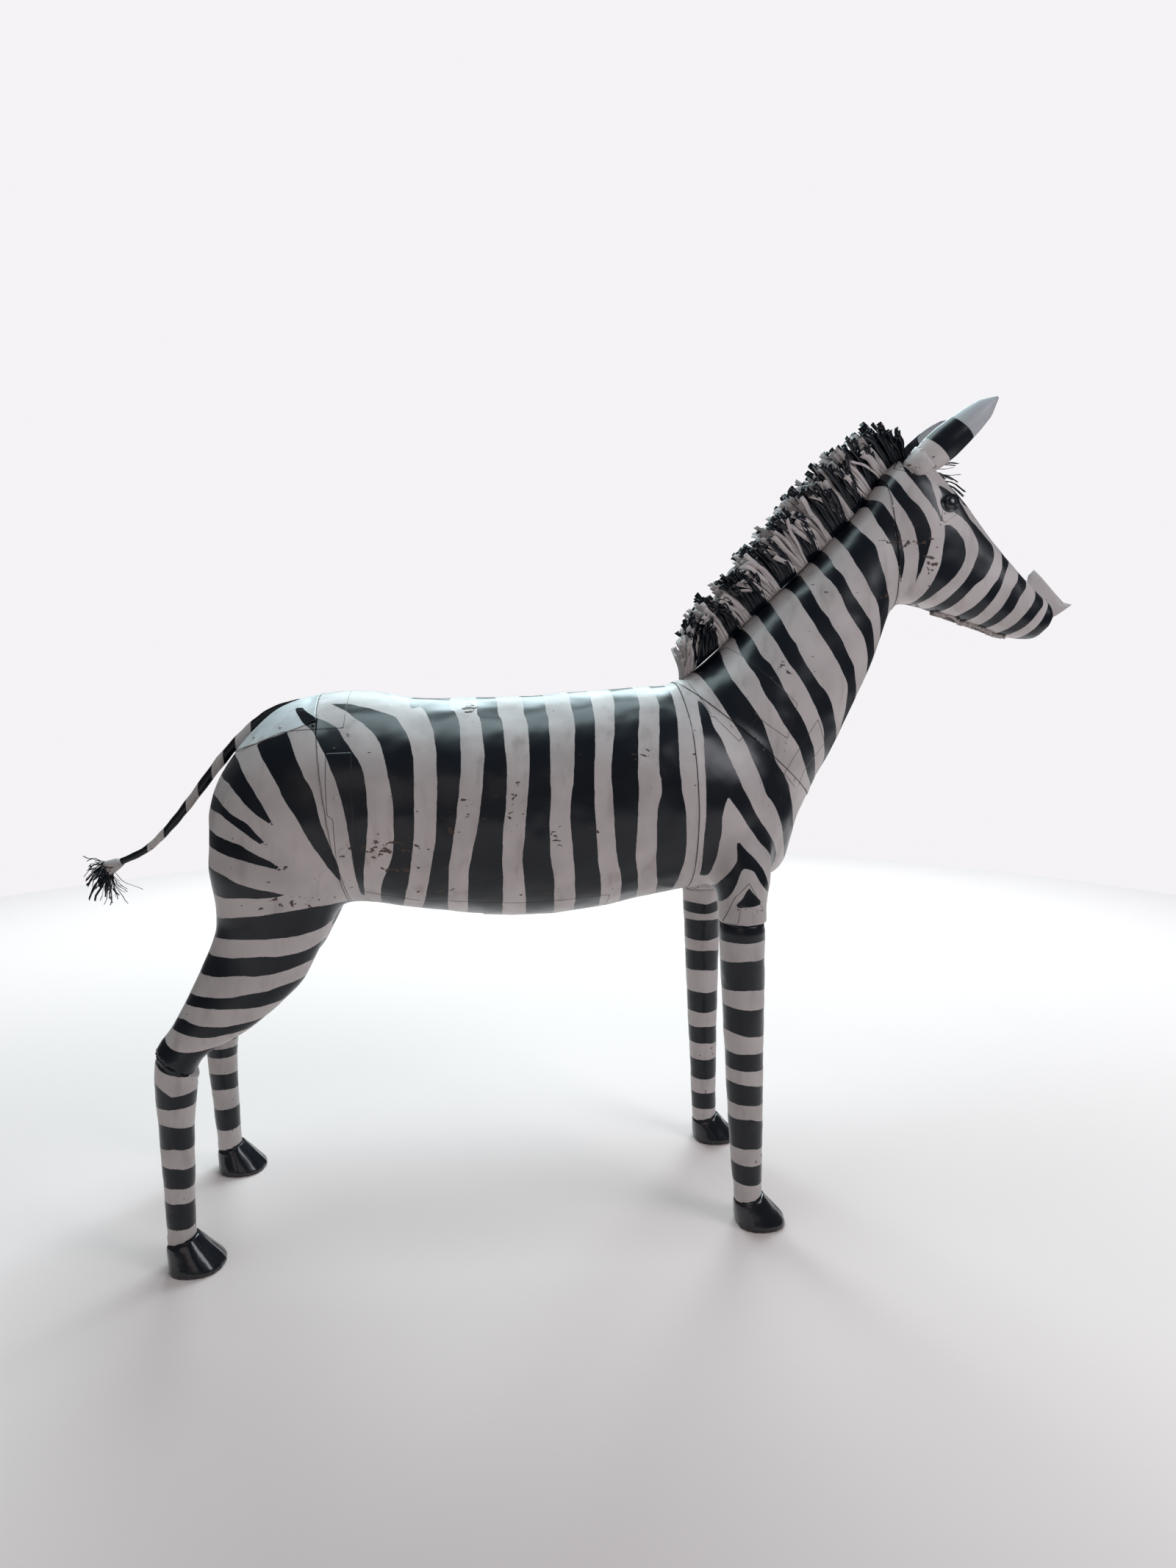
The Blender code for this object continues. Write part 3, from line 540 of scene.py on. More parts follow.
def bumped(tree, shader, height, strength):
    """Fine relief of a material, at most a millimetre deep."""
    bump = tree.nodes.new("ShaderNodeBump")
    bump.inputs["Strength"].default_value = strength
    bump.inputs["Distance"].default_value = 0.0010
    tree.links.new(height, bump.inputs["Height"])
    tree.links.new(bump.outputs["Normal"], shader.inputs["Normal"])


def sum_of(tree, operation, *values):
    """Output of a Math node on sockets or numbers."""
    node = tree.nodes.new("ShaderNodeMath")
    node.operation = operation
    for socket, value in zip(node.inputs, values):
        if isinstance(value, bpy.types.NodeSocket):
            tree.links.new(value, socket)
        else:
            socket.default_value = value
    return node.outputs[0]


def eased(tree, value, low, high):
    """Output that rises smoothly from 0 to 1 between two values."""
    node = tree.nodes.new("ShaderNodeMapRange")
    node.interpolation_type = "SMOOTHSTEP"
    tree.links.new(value, node.inputs["Value"])
    node.inputs["From Min"].default_value = low
    node.inputs["From Max"].default_value = high
    return node.outputs["Result"]


def mottle(tree, place, scale, detail=3.0, stretch=None):
    """Output of a Noise node on the object's own coordinates."""
    if stretch:
        turned = tree.nodes.new("ShaderNodeMapping")
        turned.inputs["Scale"].default_value = stretch
        tree.links.new(place, turned.inputs["Vector"])
        place = turned.outputs["Vector"]
    node = tree.nodes.new("ShaderNodeTexNoise")
    node.inputs["Scale"].default_value = scale
    node.inputs["Detail"].default_value = detail
    tree.links.new(place, node.inputs["Vector"])
    return node.outputs["Fac"]


def mixed(tree, share, first, second):
    """Colour between two colours or colour sockets."""
    node = tree.nodes.new("ShaderNodeMix")
    node.data_type = "RGBA"
    tree.links.new(share, node.inputs["Factor"])
    for socket, colour in ((node.inputs["A"], first), (node.inputs["B"], second)):
        if isinstance(colour, bpy.types.NodeSocket):
            tree.links.new(colour, socket)
        else:
            socket.default_value = (*colour, 1.0)
    return node.outputs["Result"]


def read(tree, name):
    """Output of a number written on the mesh."""
    node = tree.nodes.new("ShaderNodeAttribute")
    node.attribute_name = name
    return node.outputs["Fac"]


WHITE = (0.585, 0.535, 0.525)
GREY_WHITE = (0.475, 0.432, 0.425)
BLACK = (0.0040, 0.0068, 0.0120)
RUST = (0.058, 0.034, 0.023)
SOIL = (0.180, 0.145, 0.120)


def striped_paint(name, laid=False, wobble=0.0030, tip=None, coat=(WHITE, GREY_WHITE), gloss=0.44):
    """Brushed white with black gloss where the mesh is marked, over dented and scuffed sheet."""
    material, tree, shader, place = blank_paint(name)

    # Edge of the black: hand-drawn sway, then the ragged edge of the brush
    sway = sum_of(tree, "SUBTRACT", mottle(tree, place, 22, 2), 0.5)
    ragged = sum_of(tree, "SUBTRACT", mottle(tree, place, 240, 2), 0.5)
    edge = sum_of(tree, "MULTIPLY_ADD", sway, wobble * 2, read(tree, "stripe"))
    edge = sum_of(tree, "MULTIPLY_ADD", ragged, wobble * 0.5, edge)
    black = eased(tree, edge, -0.0007, 0.0007)

    # White coat: uneven cover, grey brush streaks, old soil
    cover = mottle(tree, place, 9, 5)
    streak = mottle(tree, place, 30, 3, (1.0, 1.0, 0.18))
    white = mixed(tree, eased(tree, cover, 0.35, 0.72), *coat)
    white = mixed(tree, sum_of(tree, "MULTIPLY", eased(tree, streak, 0.52, 0.80), 0.35), white, SOIL)
    if tip:
        white = mixed(tree, eased(tree, read(tree, "tip"), -0.0007, 0.0007), white, tip)

    # Black coat: near black, a little blue, dusty in places
    dust = mottle(tree, place, 14, 4)
    dusty = sum_of(tree, "MULTIPLY", eased(tree, dust, 0.5, 0.85), 0.30)
    enamel = mixed(tree, dusty, BLACK, (0.024, 0.025, 0.030))
    colour = mixed(tree, black, white, enamel)

    # Specks and chips everywhere, rust and scrapes where the sheet was rubbed
    grain = mottle(tree, place, 150, 6)
    flecks = mottle(tree, place, 420, 2)
    blots = mottle(tree, place, 95, 9, (0.6, 1.0, 1.0))
    rubbed = read(tree, "scuff")
    worn = sum_of(tree, "MULTIPLY_ADD", rubbed, 0.22, blots)
    rust = eased(tree, worn, 0.715, 0.735)
    chips = eased(tree, flecks, 0.79, 0.81)
    colour = mixed(tree, sum_of(tree, "MULTIPLY", rust, 0.9), colour, RUST)
    colour = mixed(tree, sum_of(tree, "MULTIPLY", chips, 0.6), colour, SOIL)

    height = sum_of(tree, "MULTIPLY", streak, 0.25)
    height = sum_of(tree, "MULTIPLY_ADD", black, 0.12, height)
    height = sum_of(tree, "MULTIPLY_ADD", grain, 0.20, height)
    if laid:
        # Edges of the sheets: a dark line, partly soil in the gap and partly painted shade of the
        # step at the seam, one side standing higher
        lap = read(tree, "laid")
        nearby = sum_of(tree, "MINIMUM", sum_of(tree, "ABSOLUTE", lap), read(tree, "rim"))
        line = sum_of(tree, "SUBTRACT", 1.0, eased(tree, nearby, 0.0003, 0.0014))
        broken = eased(tree, mottle(tree, place, 14, 2), 0.30, 0.44)
        line = sum_of(tree, "MULTIPLY", line, broken)
        # The dark line is painted shade along the seam, mixed with soil
        colour = mixed(tree, sum_of(tree, "MULTIPLY", line, 0.80), colour, (0.030, 0.027, 0.026))
        height = sum_of(tree, "MULTIPLY_ADD", eased(tree, lap, -0.0012, 0.0012), 1.6, height)
    tree.links.new(colour, shader.inputs["Base Color"])

    gloss = sum_of(tree, "MULTIPLY_ADD", black, -0.20, gloss)
    gloss = sum_of(tree, "MULTIPLY_ADD", rust, 0.35, gloss)
    gloss = sum_of(tree, "MULTIPLY_ADD", cover, 0.10, gloss)
    tree.links.new(gloss, shader.inputs["Roughness"])
    shader.inputs["Specular IOR Level"].default_value = 0.36
    shader.inputs["Coat Weight"].default_value = 0.12
    shader.inputs["Coat Roughness"].default_value = 0.22
    bumped(tree, shader, height, 0.55)
    return material


black_outlines = []
for upper, lower, point in WEDGES:
    line_up = ((upper[0][0] - 90, upper[0][1] + 30),) + upper + (point,)
    line_low = ((lower[0][0] - 90, lower[0][1] + 20),) + lower + (point,)
    black_outlines.append(between(line_up, line_low, 0, 0))
# Stripes with the lengths in metres by which they are drawn out at their first and last ends
for stripes, start, end in (
    (FLANK_STRIPES, 0.004, 0),
    (BARREL_STRIPES[:1], 0, 0.12),
    (NECK_STRIPES, 0.06, 0.09),
    (POLL_STRIPES, 0.03, 0),
    (FACE_STRIPES[:2], 0, 0.07),
    (FACE_STRIPES[2:], 0.05, 0.07),
    (THIGH_BANDS, 0.08, 0.08),
):
    for rear, front in stripes:
        black_outlines.append(between(rear, front, start, end))
for rear, front in BARREL_STRIPES[1:]:
    black_outlines.append(between(raised(rear, 140), raised(front, 140), 0, 0.12))
for outline in SHOULDER_PATCHES + FACE_PATCHES:
    black_outlines.append(bowed(outline + outline[:1], 4)[:-1] / 1000)
laid_outlines = [np.array(outline) / 1000 for outline in LAID_SHEETS]

body_paint = striped_paint("body_paint", laid=True)
# The croup plate's white is painted lighter and bluer: a painted highlight of the sky light on the
# top of the back
croup_highlight_coat = ((0.78, 0.82, 0.83), (0.64, 0.68, 0.70))
croup_highlight_paint = striped_paint("croup_highlight_paint", laid=True, coat=croup_highlight_coat, gloss=0.36)

skin = fine_skin(joined_solids(SHELLS), SKIN_GRID)
skin_spots = np.array([(vert.co.x - STANCE, vert.co.z) for vert in skin.verts])
along_x, up = skin_spots.T
from_end = np.where(along_x < 0, ahead(HOCK_SEAM, skin_spots), up - ELBOW_LEVEL)
from_end = np.where(up > 1.0, NOSE_END - along_x, from_end)
for limit, passes in PLANISHING:
    planished(skin, [vert for vert, off in zip(skin.verts, from_end) if off > limit], passes)
for vert, off in zip(skin.verts, from_end):
    # Shallow hollows of the hammer, longer buckles, and the crushed line along the back
    x = vert.co.x - STANCE
    hollow = noise.noise(vert.co * 4.5) * 0.0050 + noise.noise(vert.co * 11.0) * 0.0030
    hollow += noise.noise(vert.co * 26.0) * 0.0010
    ridge = max(0.0, 1 - abs(vert.co.y) / 0.055) * max(0.0, 1 - abs(x - 0.02) / 0.36)
    if vert.co.z > 1.24:
        hollow -= 0.016 * ridge * (0.8 + noise.noise(vert.co * 14.0))
    vert.co += vert.normal * (hollow - 0.0015) * min(1.0, max(0.0, off / 0.06))

# Lower border of each haunch: opened a little and drawn down over the shank as a lap
skin.normal_update()
(x1, z1), (x2, z2) = HOCK_SEAM
hock_down = Vector((z2 - z1, 0, x1 - x2)).normalized()
border = []
for vert, off in zip(skin.verts, from_end):
    if vert.co.z < 0.60 and vert.co.x < STANCE and off < HOCK_BORDER:
        near = 1 - max(0.0, off) / HOCK_BORDER
        outward = vert.normal - hock_down * vert.normal.dot(hock_down)
        vert.co += outward * HOCK_FLARE * near + hock_down * HOCK_DROP * near
        border.append(vert)
planished(skin, border, 3)

# Cuts along the seams and the middle plane, so that no face lies across a border
cuts = [((x1 + STANCE, 0, z1), (z1 - z2, 0, x2 - x1)) for (x1, z1), (x2, z2) in SEAMS]
cuts.append(((0, 0, 0), (0, 1, 0)))
for place, across in cuts:
    everything = skin.verts[:] + skin.edges[:] + skin.faces[:]
    bmesh.ops.bisect_plane(skin, geom=everything, dist=0.00001, plane_co=place, plane_no=across)
body_tree = BVHTree.FromBMesh(skin)
middles = np.array([face.calc_center_median() for face in skin.faces])
spots = np.stack((middles[:, 0] - STANCE, middles[:, 2]), 1)
past_flank = ahead(FLANK_SEAM, spots) > 0
past_shoulder = ahead(SHOULDER_SEAM, spots) > 0
past_neck = ahead(NECK_SEAM, spots) > 0
past_throat = ahead(THROAT_SEAM, spots) > 0
over_croup = ahead(CROUP_SEAM, spots) > 0
shell_of = np.full(len(middles), "barrel", "U16")
shell_of[~past_flank & over_croup] = "croup"
shell_of[~past_flank & ~over_croup & (middles[:, 1] > 0)] = "haunch_left"
shell_of[~past_flank & ~over_croup & (middles[:, 1] <= 0)] = "haunch_right"
shell_of[past_shoulder & ~past_neck] = "shoulders"
shell_of[past_shoulder & past_neck & ~past_throat] = "neck"
shell_of[past_shoulder & past_neck & past_throat] = "head"

for name in SHELLS:
    shell = skin.copy()
    shell.faces.ensure_lookup_table()
    others = [shell.faces[i] for i in np.where(shell_of != name)[0]]
    bmesh.ops.delete(shell, geom=others, context="FACES")
    shell.normal_update()
    for seam, side in BORDERS[name]:
        if not side:
            continue
        co = np.array([(vert.co.x - STANCE, vert.co.z) for vert in shell.verts])
        for vert, distance in zip(shell.verts, ahead(seam, co) * side):
            # The flank's lap dies away under the belly, where the sheet is bent hard
            fade = min(1.0, max(0.0, (vert.co.z - 0.84) / 0.04)) if seam == FLANK_SEAM else 1.0
            if -0.0001 < distance < LAP_WIDTH:
                vert.co += vert.normal * LIFT * fade * (1 - distance / LAP_WIDTH)
    piece = made(shell, name + "_shell")
    places, spots = side_spots(piece)
    rim = np.full(len(spots), REACH)
    for seam, side in BORDERS[name]:
        rim = np.minimum(rim, np.abs(ahead(seam, spots)))
    scuff = np.zeros(len(spots))
    for x, z, reach, rise, strength in SCUFFS:
        off = ((spots[:, 0] - x) / reach) ** 2 + ((spots[:, 1] - z) / rise) ** 2
        facing = np.where(places[:, 1] < 0, 1.0, FAR_SIDE_WEAR)
        scuff = np.maximum(scuff, strength * np.exp(-0.7 * off) * facing)
    marked(piece, "stripe", most_inside(spots, black_outlines))
    marked(piece, "laid", most_inside(spots, laid_outlines))
    marked(piece, "rim", rim)
    marked(piece, "scuff", scuff)
    thickened(piece, SHEET, -1)
    # The croup plate takes the white with the painted highlight on it
    piece.data.materials.append(croup_highlight_paint if name == "croup" else body_paint)
    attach(piece, "root")
    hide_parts(name)

# Hanging strips: the crumpled border along the underside of the jaw and the torn bit on the back.
# Thin sheet in the same white coat, each tacked along its upper edge.

JAW_LAP = ((1.190, 1.538), (1.215, 1.528), (1.300, 1.500), (1.350, 1.487), (1.395, 1.466))
BACK_TEAR = ((-0.052, 1.290), (-0.034, 1.296), (-0.020, 1.293), (-0.008, 1.290))


def hanging_strip(name, line, drop, sides, steps, owner):
    """Strip of sheet tacked along a side-view line, its lower edge hanging free and crumpled."""
    strip = bmesh.new()
    for side in sides:
        rows = []
        for x in np.linspace(line[0][0], line[-1][0], steps):
            z = np.interp(x, *np.array(line).T)
            hit = None
            while hit is None and z > 0:
                hit = body_tree.ray_cast(Vector((x + STANCE, side, z)), Vector((0, -side, 0)))[0]
                # A miss is tried again nearer to the sheet: above the jaw, or below the back
                z += 0.001 if owner == "head" else -0.001
            shake = noise.noise(Vector((x * 24, side * 5, 0)))
            hit.y += side * (0.0006 + 0.0008 * abs(shake))
            row = []
            for t in (0.0, 0.35, 0.7, 1.0):
                spread = side * 0.0030 * noise.noise(Vector((x * 34, t * 2 + side * 9, 3)))
                fall = drop * t * (0.85 + 0.6 * shake)
                row.append(strip.verts.new(hit + Vector((0, spread * t - side * 0.002 * t, -fall))))
            rows.append([strip.edges.new(pair) for pair in zip(row, row[1:])])
        for one, other in zip(rows, rows[1:]):
            bmesh.ops.bridge_loops(strip, edges=one + other)
    bmesh.ops.recalc_face_normals(strip, faces=strip.faces)
    piece = made(strip, name)
    for mark, value in (("stripe", -0.02), ("laid", -0.03), ("rim", 0.03), ("scuff", 0.3)):
        marked(piece, mark, value)
    thickened(piece, 0.0014, 0)
    piece.data.materials.append(body_paint)
    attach(piece, "root")


hanging_strip("jaw_flange", JAW_LAP, 0.011, (-1, 1), 60, "head")
hanging_strip("back_tear", BACK_TEAR, 0.013, (-1,), 24, "barrel")

# Legs: four rolled tubes of sheet, tucked into the elbows and the hocks.
# Same white coat, with black rings brushed round them by hand.

LEG_GRID = 0.0042
LEG_HALF_DEPTH = 0.045
SHANK_MIDDLE = -0.712

# Height and middle of the forelegs near the floor and at the elbow
FORELEG_MIDDLE = ((0.05, 0.77), (0.648, 0.624))

# Ring edges: upper edge at the rear, the middle and the front, then the lower edge likewise
LEG_RINGS = {
    "foreleg_right": (
        (0.779, 0.779, 0.779, 0.730, 0.730, 0.730),
        (0.680, 0.685, 0.685, 0.608, 0.612, 0.607),
        (0.568, 0.562, 0.562, 0.505, 0.497, 0.490),
        (0.452, 0.452, 0.447, 0.410, 0.410, 0.405),
        (0.376, 0.373, 0.360, 0.323, 0.320, 0.315),
        (0.283, 0.285, 0.268, 0.207, 0.209, 0.203),
        (0.167, 0.163, 0.160, 0.115, 0.112, 0.112),
    ),
    "foreleg_left": (
        (0.732, 0.728, 0.736, 0.702, 0.698, 0.706),
        (0.680, 0.682, 0.678, 0.623, 0.621, 0.626),
        (0.588, 0.590, 0.585, 0.530, 0.532, 0.528),
        (0.465, 0.463, 0.466, 0.405, 0.402, 0.407),
        (0.357, 0.359, 0.354, 0.307, 0.309, 0.304),
        (0.258, 0.256, 0.260, 0.197, 0.195, 0.199),
        (0.150, 0.152, 0.148, 0.100, 0.102, 0.098),
    ),
    "shank_right": (
        (0.452, 0.420, 0.418, 0.390, 0.388, 0.385),
        (0.352, 0.346, 0.330, 0.293, 0.294, 0.280),
        (0.254, 0.249, 0.235, 0.202, 0.200, 0.190),
        (0.168, 0.165, 0.155, 0.105, 0.102, 0.100),
    ),
    "shank_left": (
        (0.437, 0.418, 0.403, 0.395, 0.392, 0.390),
        (0.372, 0.370, 0.366, 0.345, 0.343, 0.340),
        (0.293, 0.295, 0.290, 0.247, 0.249, 0.244),
        (0.190, 0.188, 0.192, 0.127, 0.125, 0.130),
    ),
}

leg_paint = striped_paint("leg_paint", wobble=0.0034)
for name, rings in LEG_RINGS.items():
    low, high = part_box(name)
    is_shank = name.startswith("shank")
    tube = fine_skin(joined_solids((name,)), LEG_GRID)
    inner = []
    for vert in tube.verts:
        spot = np.array(((vert.co.x - STANCE, vert.co.z),))
        top = -ahead(HOCK_SEAM, spot)[0] if is_shank else high.z - vert.co.z
        if vert.co.z > low.z + 0.020 and top > 0.006:
            inner.append(vert)
    planished(tube, inner, 14)
    for vert in inner:
        hollow = noise.noise(vert.co * 16.0) * 0.0016 + noise.noise(vert.co * 45.0) * 0.0006
        if name == "foreleg_right":
            # The near foreleg is a little stouter than its solid, but not at its two ends
            above_hoof = max(0.0, (vert.co.z - 0.07) / 0.10)
            hollow += 0.0034 * min(1.0, above_hoof, (high.z - vert.co.z) / 0.02)
        if is_shank:
            # Drawn in a little where the tube goes up into the hock
            spot = np.array(((vert.co.x - STANCE, vert.co.z),))
            hollow -= 0.0060 * max(0.0, 1 + ahead(HOCK_SEAM, spot)[0] / 0.022)
        vert.co += vert.normal * hollow
    piece = made(tube, name + "_tube")
    _, spots = side_spots(piece)
    along_x, up = spots.T
    middle = SHANK_MIDDLE if is_shank else np.interp(up, *FORELEG_MIDDLE)
    share = np.clip((along_x - middle) / LEG_HALF_DEPTH, -1, 1)
    stripe = np.full(len(spots), -REACH)
    for ring in rings:
        upper = np.interp(share, (-1, 0, 1), ring[:3])
        lower = np.interp(share, (-1, 0, 1), ring[3:])
        stripe = np.maximum(stripe, np.minimum(upper - up, up - lower))
    if is_shank:
        stripe = np.maximum(stripe, most_inside(spots, black_outlines))
    marked(piece, "stripe", stripe)
    marked(piece, "scuff", np.exp(-(((up - 0.20) / 0.10) ** 2)) * 0.25)
    piece.data.materials.append(leg_paint)
    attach(piece, "root")
    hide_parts(name)

# Hooves: flared cones of sheet over the foot of each leg, welded down the front.
# Thick black gloss, with dust on the slope and a worn lower edge.

HOOF_GRID = 0.0026


def hoof_paint():
    """Black gloss with soft scuffs and pale dust near the ground."""
    material, tree, shader, coordinates = blank_paint("hoof_paint")
    apart = tree.nodes.new("ShaderNodeSeparateXYZ")
    tree.links.new(coordinates, apart.inputs["Vector"])
    low = sum_of(tree, "SUBTRACT", 1.0, eased(tree, apart.outputs["Z"], 0.0, 0.018))
    grain = mottle(tree, coordinates, 90, 5)
    patch = mottle(tree, coordinates, 22, 3)
    dust = sum_of(tree, "MULTIPLY", low, eased(tree, grain, 0.35, 0.70))
    dust = sum_of(tree, "MULTIPLY_ADD", eased(tree, patch, 0.55, 0.80), 0.30, dust)
    colour = mixed(tree, sum_of(tree, "MULTIPLY", dust, 0.45), BLACK, (0.085, 0.078, 0.072))
    chips = eased(tree, mottle(tree, coordinates, 260, 3), 0.70, 0.73)
    colour = mixed(tree, sum_of(tree, "MULTIPLY", chips, 0.5), colour, SOIL)
    tree.links.new(colour, shader.inputs["Base Color"])
    gloss = sum_of(tree, "MULTIPLY_ADD", dust, 0.30, 0.20)
    tree.links.new(gloss, shader.inputs["Roughness"])
    shader.inputs["Coat Weight"].default_value = 0.4
    shader.inputs["Coat Roughness"].default_value = 0.15
    bumped(tree, shader, grain, 0.5)
    return material


black_gloss = hoof_paint()
for name in ("fore_hoof_right", "fore_hoof_left", "hind_hoof_right", "hind_hoof_left"):
    low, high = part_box(name)
    cone = fine_skin(joined_solids((name,)), HOOF_GRID)
    upper = [vert for vert in cone.verts if 0.004 < vert.co.z < high.z - 0.004]
    planished(cone, upper, 22)
    middle_y = (low.y + high.y) / 2
    for vert in upper:
        # The weld down the front stands up as a blunt crease, among small dents
        forward = (vert.co.x - low.x) / (high.x - low.x)
        rise = min(1.0, vert.co.z / 0.02) * max(0.0, forward - 0.45) * 1.8
        crease = max(0.0, 1 - abs(vert.co.y - middle_y) / 0.012)
        vert.co += vert.normal * (0.0035 * rise * crease + noise.noise(vert.co * 30) * 0.0009)
        vert.co.x = min(vert.co.x, high.x)
        vert.co.z = max(vert.co.z, 0.003)
    piece = made(cone, name + "_cone")
    piece.data.materials.append(black_gloss)
    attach(piece, "root")
    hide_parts(name)

# Ears: leaves cut from sheet, rolled hollow and bolted to the poll with a folded tab.
# White at the root, a broad black band, bare pale metal at the tip.

EAR_REACH = Vector((0.208, 0.038, 0.184))
EAR_WIDTH = 0.086
EAR_FOLD = 0.030
EAR_ARC_DEGREES = 200
EAR_BREADTH = (0.62, 0.80, 0.95, 1.00, 0.95, 0.82, 0.60, 0.08)
EAR_BAND = (0.32, 0.60)
EAR_STEPS = 26
EAR_BENDS = 18
TAB_ARC_DEGREES = 210
TAB_BENDS = 14
TAB_GROWTH = (1.02, 1.07, 1.03, 1.08, 1.02, 1.05)


def hoop(bm, middle, across, outward, wide, deep, arc, bends, dent=0.0):
    """Open bent line of vertices round an ear or a tab."""
    row = []
    for k in range(bends + 1):
        turn = math.radians(arc * (k / bends - 0.5))
        offset = across * wide * math.sin(turn) + outward * deep * math.cos(turn)
        offset += outward * dent * math.cos(3 * turn)
        row.append(bm.verts.new(middle + offset))
    return [bm.edges.new(pair) for pair in zip(row, row[1:])]


# Blender starts noise_vector from the clock, so it is given one start for every run
noise.seed_set(3)
ear_paint = striped_paint("ear_paint", wobble=0.0016, tip=(0.43, 0.45, 0.47))
for name, side in (("ear_right", -1), ("ear_left", 1)):
    low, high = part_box(name)
    reach = Vector((EAR_REACH.x, EAR_REACH.y * side, EAR_REACH.z))
    base = Vector((high.x - 0.0022, 0, high.z - 0.0024)) - reach
    base.y = side * 0.060
    axis = reach.normalized()
    outward = Vector((0, side, 0))
    outward = (outward - axis * outward.dot(axis)).normalized()
    across = axis.cross(outward) * side
    leaf = bmesh.new()
    before = None
    for i in range(EAR_STEPS + 1):
        t = i / EAR_STEPS
        breadth = np.interp(t * 7, range(8), EAR_BREADTH)
        wide = EAR_WIDTH / 2 * breadth * (1 + 0.03 * math.sin(t * 9 + side))
        deep = EAR_FOLD * breadth
        dent = 0.0015 * breadth
        middle = base + reach * t
        row = hoop(leaf, middle, across, outward, wide, deep, EAR_ARC_DEGREES, EAR_BENDS, dent)
        before = bridged(leaf, before, row)
    turned_to(leaf, outward)
    piece = made(leaf, name + "_leaf")
    places, _ = side_spots(piece)
    from_base = places - np.array(base)
    share = from_base @ np.array(axis) / reach.length
    share += 0.05 * from_base @ np.array(across) / EAR_WIDTH
    first, second = EAR_BAND
    marked(piece, "stripe", np.minimum(share - first, second - share) * reach.length)
    marked(piece, "tip", (share - second + 0.01) * reach.length)
    marked(piece, "scuff", np.exp(-(((share - 0.1) / 0.15) ** 2)) * 0.8)
    thickened(piece, 0.0022, -1)
    piece.data.materials.append(ear_paint)
    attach(piece, "root")
    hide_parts(name)

    # Tab: a strip wrapped round the ear's root and hammered down on the head
    tab = bmesh.new()
    before = None
    for i, growth in enumerate(TAB_GROWTH):
        t = 0.02 + 0.034 * i
        breadth = np.interp(t * 7, range(8), EAR_BREADTH) * growth
        wide = EAR_WIDTH / 2 * breadth
        deep = EAR_FOLD * breadth + 0.002
        dent = 0.004 * (i % 2)
        middle = base + reach * t
        row = hoop(tab, middle, across, outward, wide, deep, TAB_ARC_DEGREES, TAB_BENDS, dent)
        before = bridged(tab, before, row)
    turned_to(tab, outward)
    for vert in tab.verts:
        vert.co += noise.noise_vector(vert.co * 60) * 0.0045
    piece = made(tab, name + "_tab")
    marked(piece, "stripe", -0.02)
    marked(piece, "tip", -0.02)
    marked(piece, "scuff", 0.35)
    thickened(piece, 0.0015, 1)
    piece.data.materials.append(ear_paint)
    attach(piece, "root")

# Eyes: domed bosses of black enamel, each with a beaten lid round it.
# The lid stands out most above the eye and is brushed black with the patch round it.

for name, side in (("eye_right", -1), ("eye_left", 1)):
    low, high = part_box(name)
    middle = (low + high) / 2
    dome = bmesh.new()
    size = Matrix.Diagonal((high.x - low.x, (high.y - low.y) * 1.1, high.z - low.z, 1))
    bmesh.ops.create_uvsphere(
        dome, u_segments=32, v_segments=18, radius=0.5, matrix=Matrix.Translation(middle) @ size
    )
    piece = made(dome, name + "_dome")
    piece.data.materials.append(black_gloss)
    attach(piece, "root")
    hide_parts(name)

    lid = bmesh.new()
    rim_radius = (high.x - low.x) * 0.62
    upright = Matrix.Rotation(math.pi / 2, 4, "X")
    place = Matrix.Translation(middle + Vector((rim_radius, 0, 0))) @ upright
    bmesh.ops.create_circle(lid, segments=8, radius=0.0038, matrix=place)
    wire = lid.verts[:] + lid.edges[:]
    turn = {"axis": (0, 1, 0), "angle": math.tau, "steps": 28, "use_merge": True}
    bmesh.ops.spin(lid, geom=wire, cent=middle, **turn)
    bmesh.ops.remove_doubles(lid, verts=lid.verts, dist=0.0001)
    bmesh.ops.recalc_face_normals(lid, faces=lid.faces)
    for vert in lid.verts:
        over = (vert.co.z - middle.z) / rim_radius
        vert.co.y += side * (0.004 * max(0.0, over) + noise.noise(vert.co * 60) * 0.0012)
        vert.co.x = middle.x + (vert.co.x - middle.x) * 1.15
    piece = made(lid, name + "_lid")
    marked(piece, "stripe", 0.004)
    marked(piece, "scuff", 0.3)
    piece.data.materials.append(leg_paint)
    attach(piece, "root")

# Nose plate: a strip of white sheet folded over the end of the nose.
# Its flats are beaten a little to the left and the right.

plate_paint = striped_paint("plate_paint")
nose = joined_solids(("nose_plate",))
bmesh.ops.recalc_face_normals(nose, faces=nose.faces)
bmesh.ops.subdivide_edges(nose, edges=nose.edges, cuts=3, use_grid_fill=True)
for vert in nose.verts:
    vert.co.y += noise.noise(vert.co * 26) * 0.003
piece = made(nose, "nose_plate_sheet")
marked(piece, "stripe", -0.02)
marked(piece, "scuff", 0.1)
piece.data.materials.append(plate_paint)
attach(piece, "root")
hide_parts("nose_plate")

# Mane: a folded rail along the crest holding bunches of cut and crumpled strips.
# The bunches carry on the stripes of the neck, black and white in turn.

MANE_CREST = (
    (0.510, 1.362), (0.624, 1.462), (0.749, 1.579), (0.863, 1.687),
    (0.953, 1.783), (1.018, 1.866), (1.090, 1.926),
)
MANE_HEIGHT = (0.128, 0.122, 0.126, 0.148, 0.162, 0.152, 0.122)
MANE_LEAN_DEGREES = (-20, 22, 33, 34, 36, 36, 26)
MANE_ROOT_SPREAD = 0.021

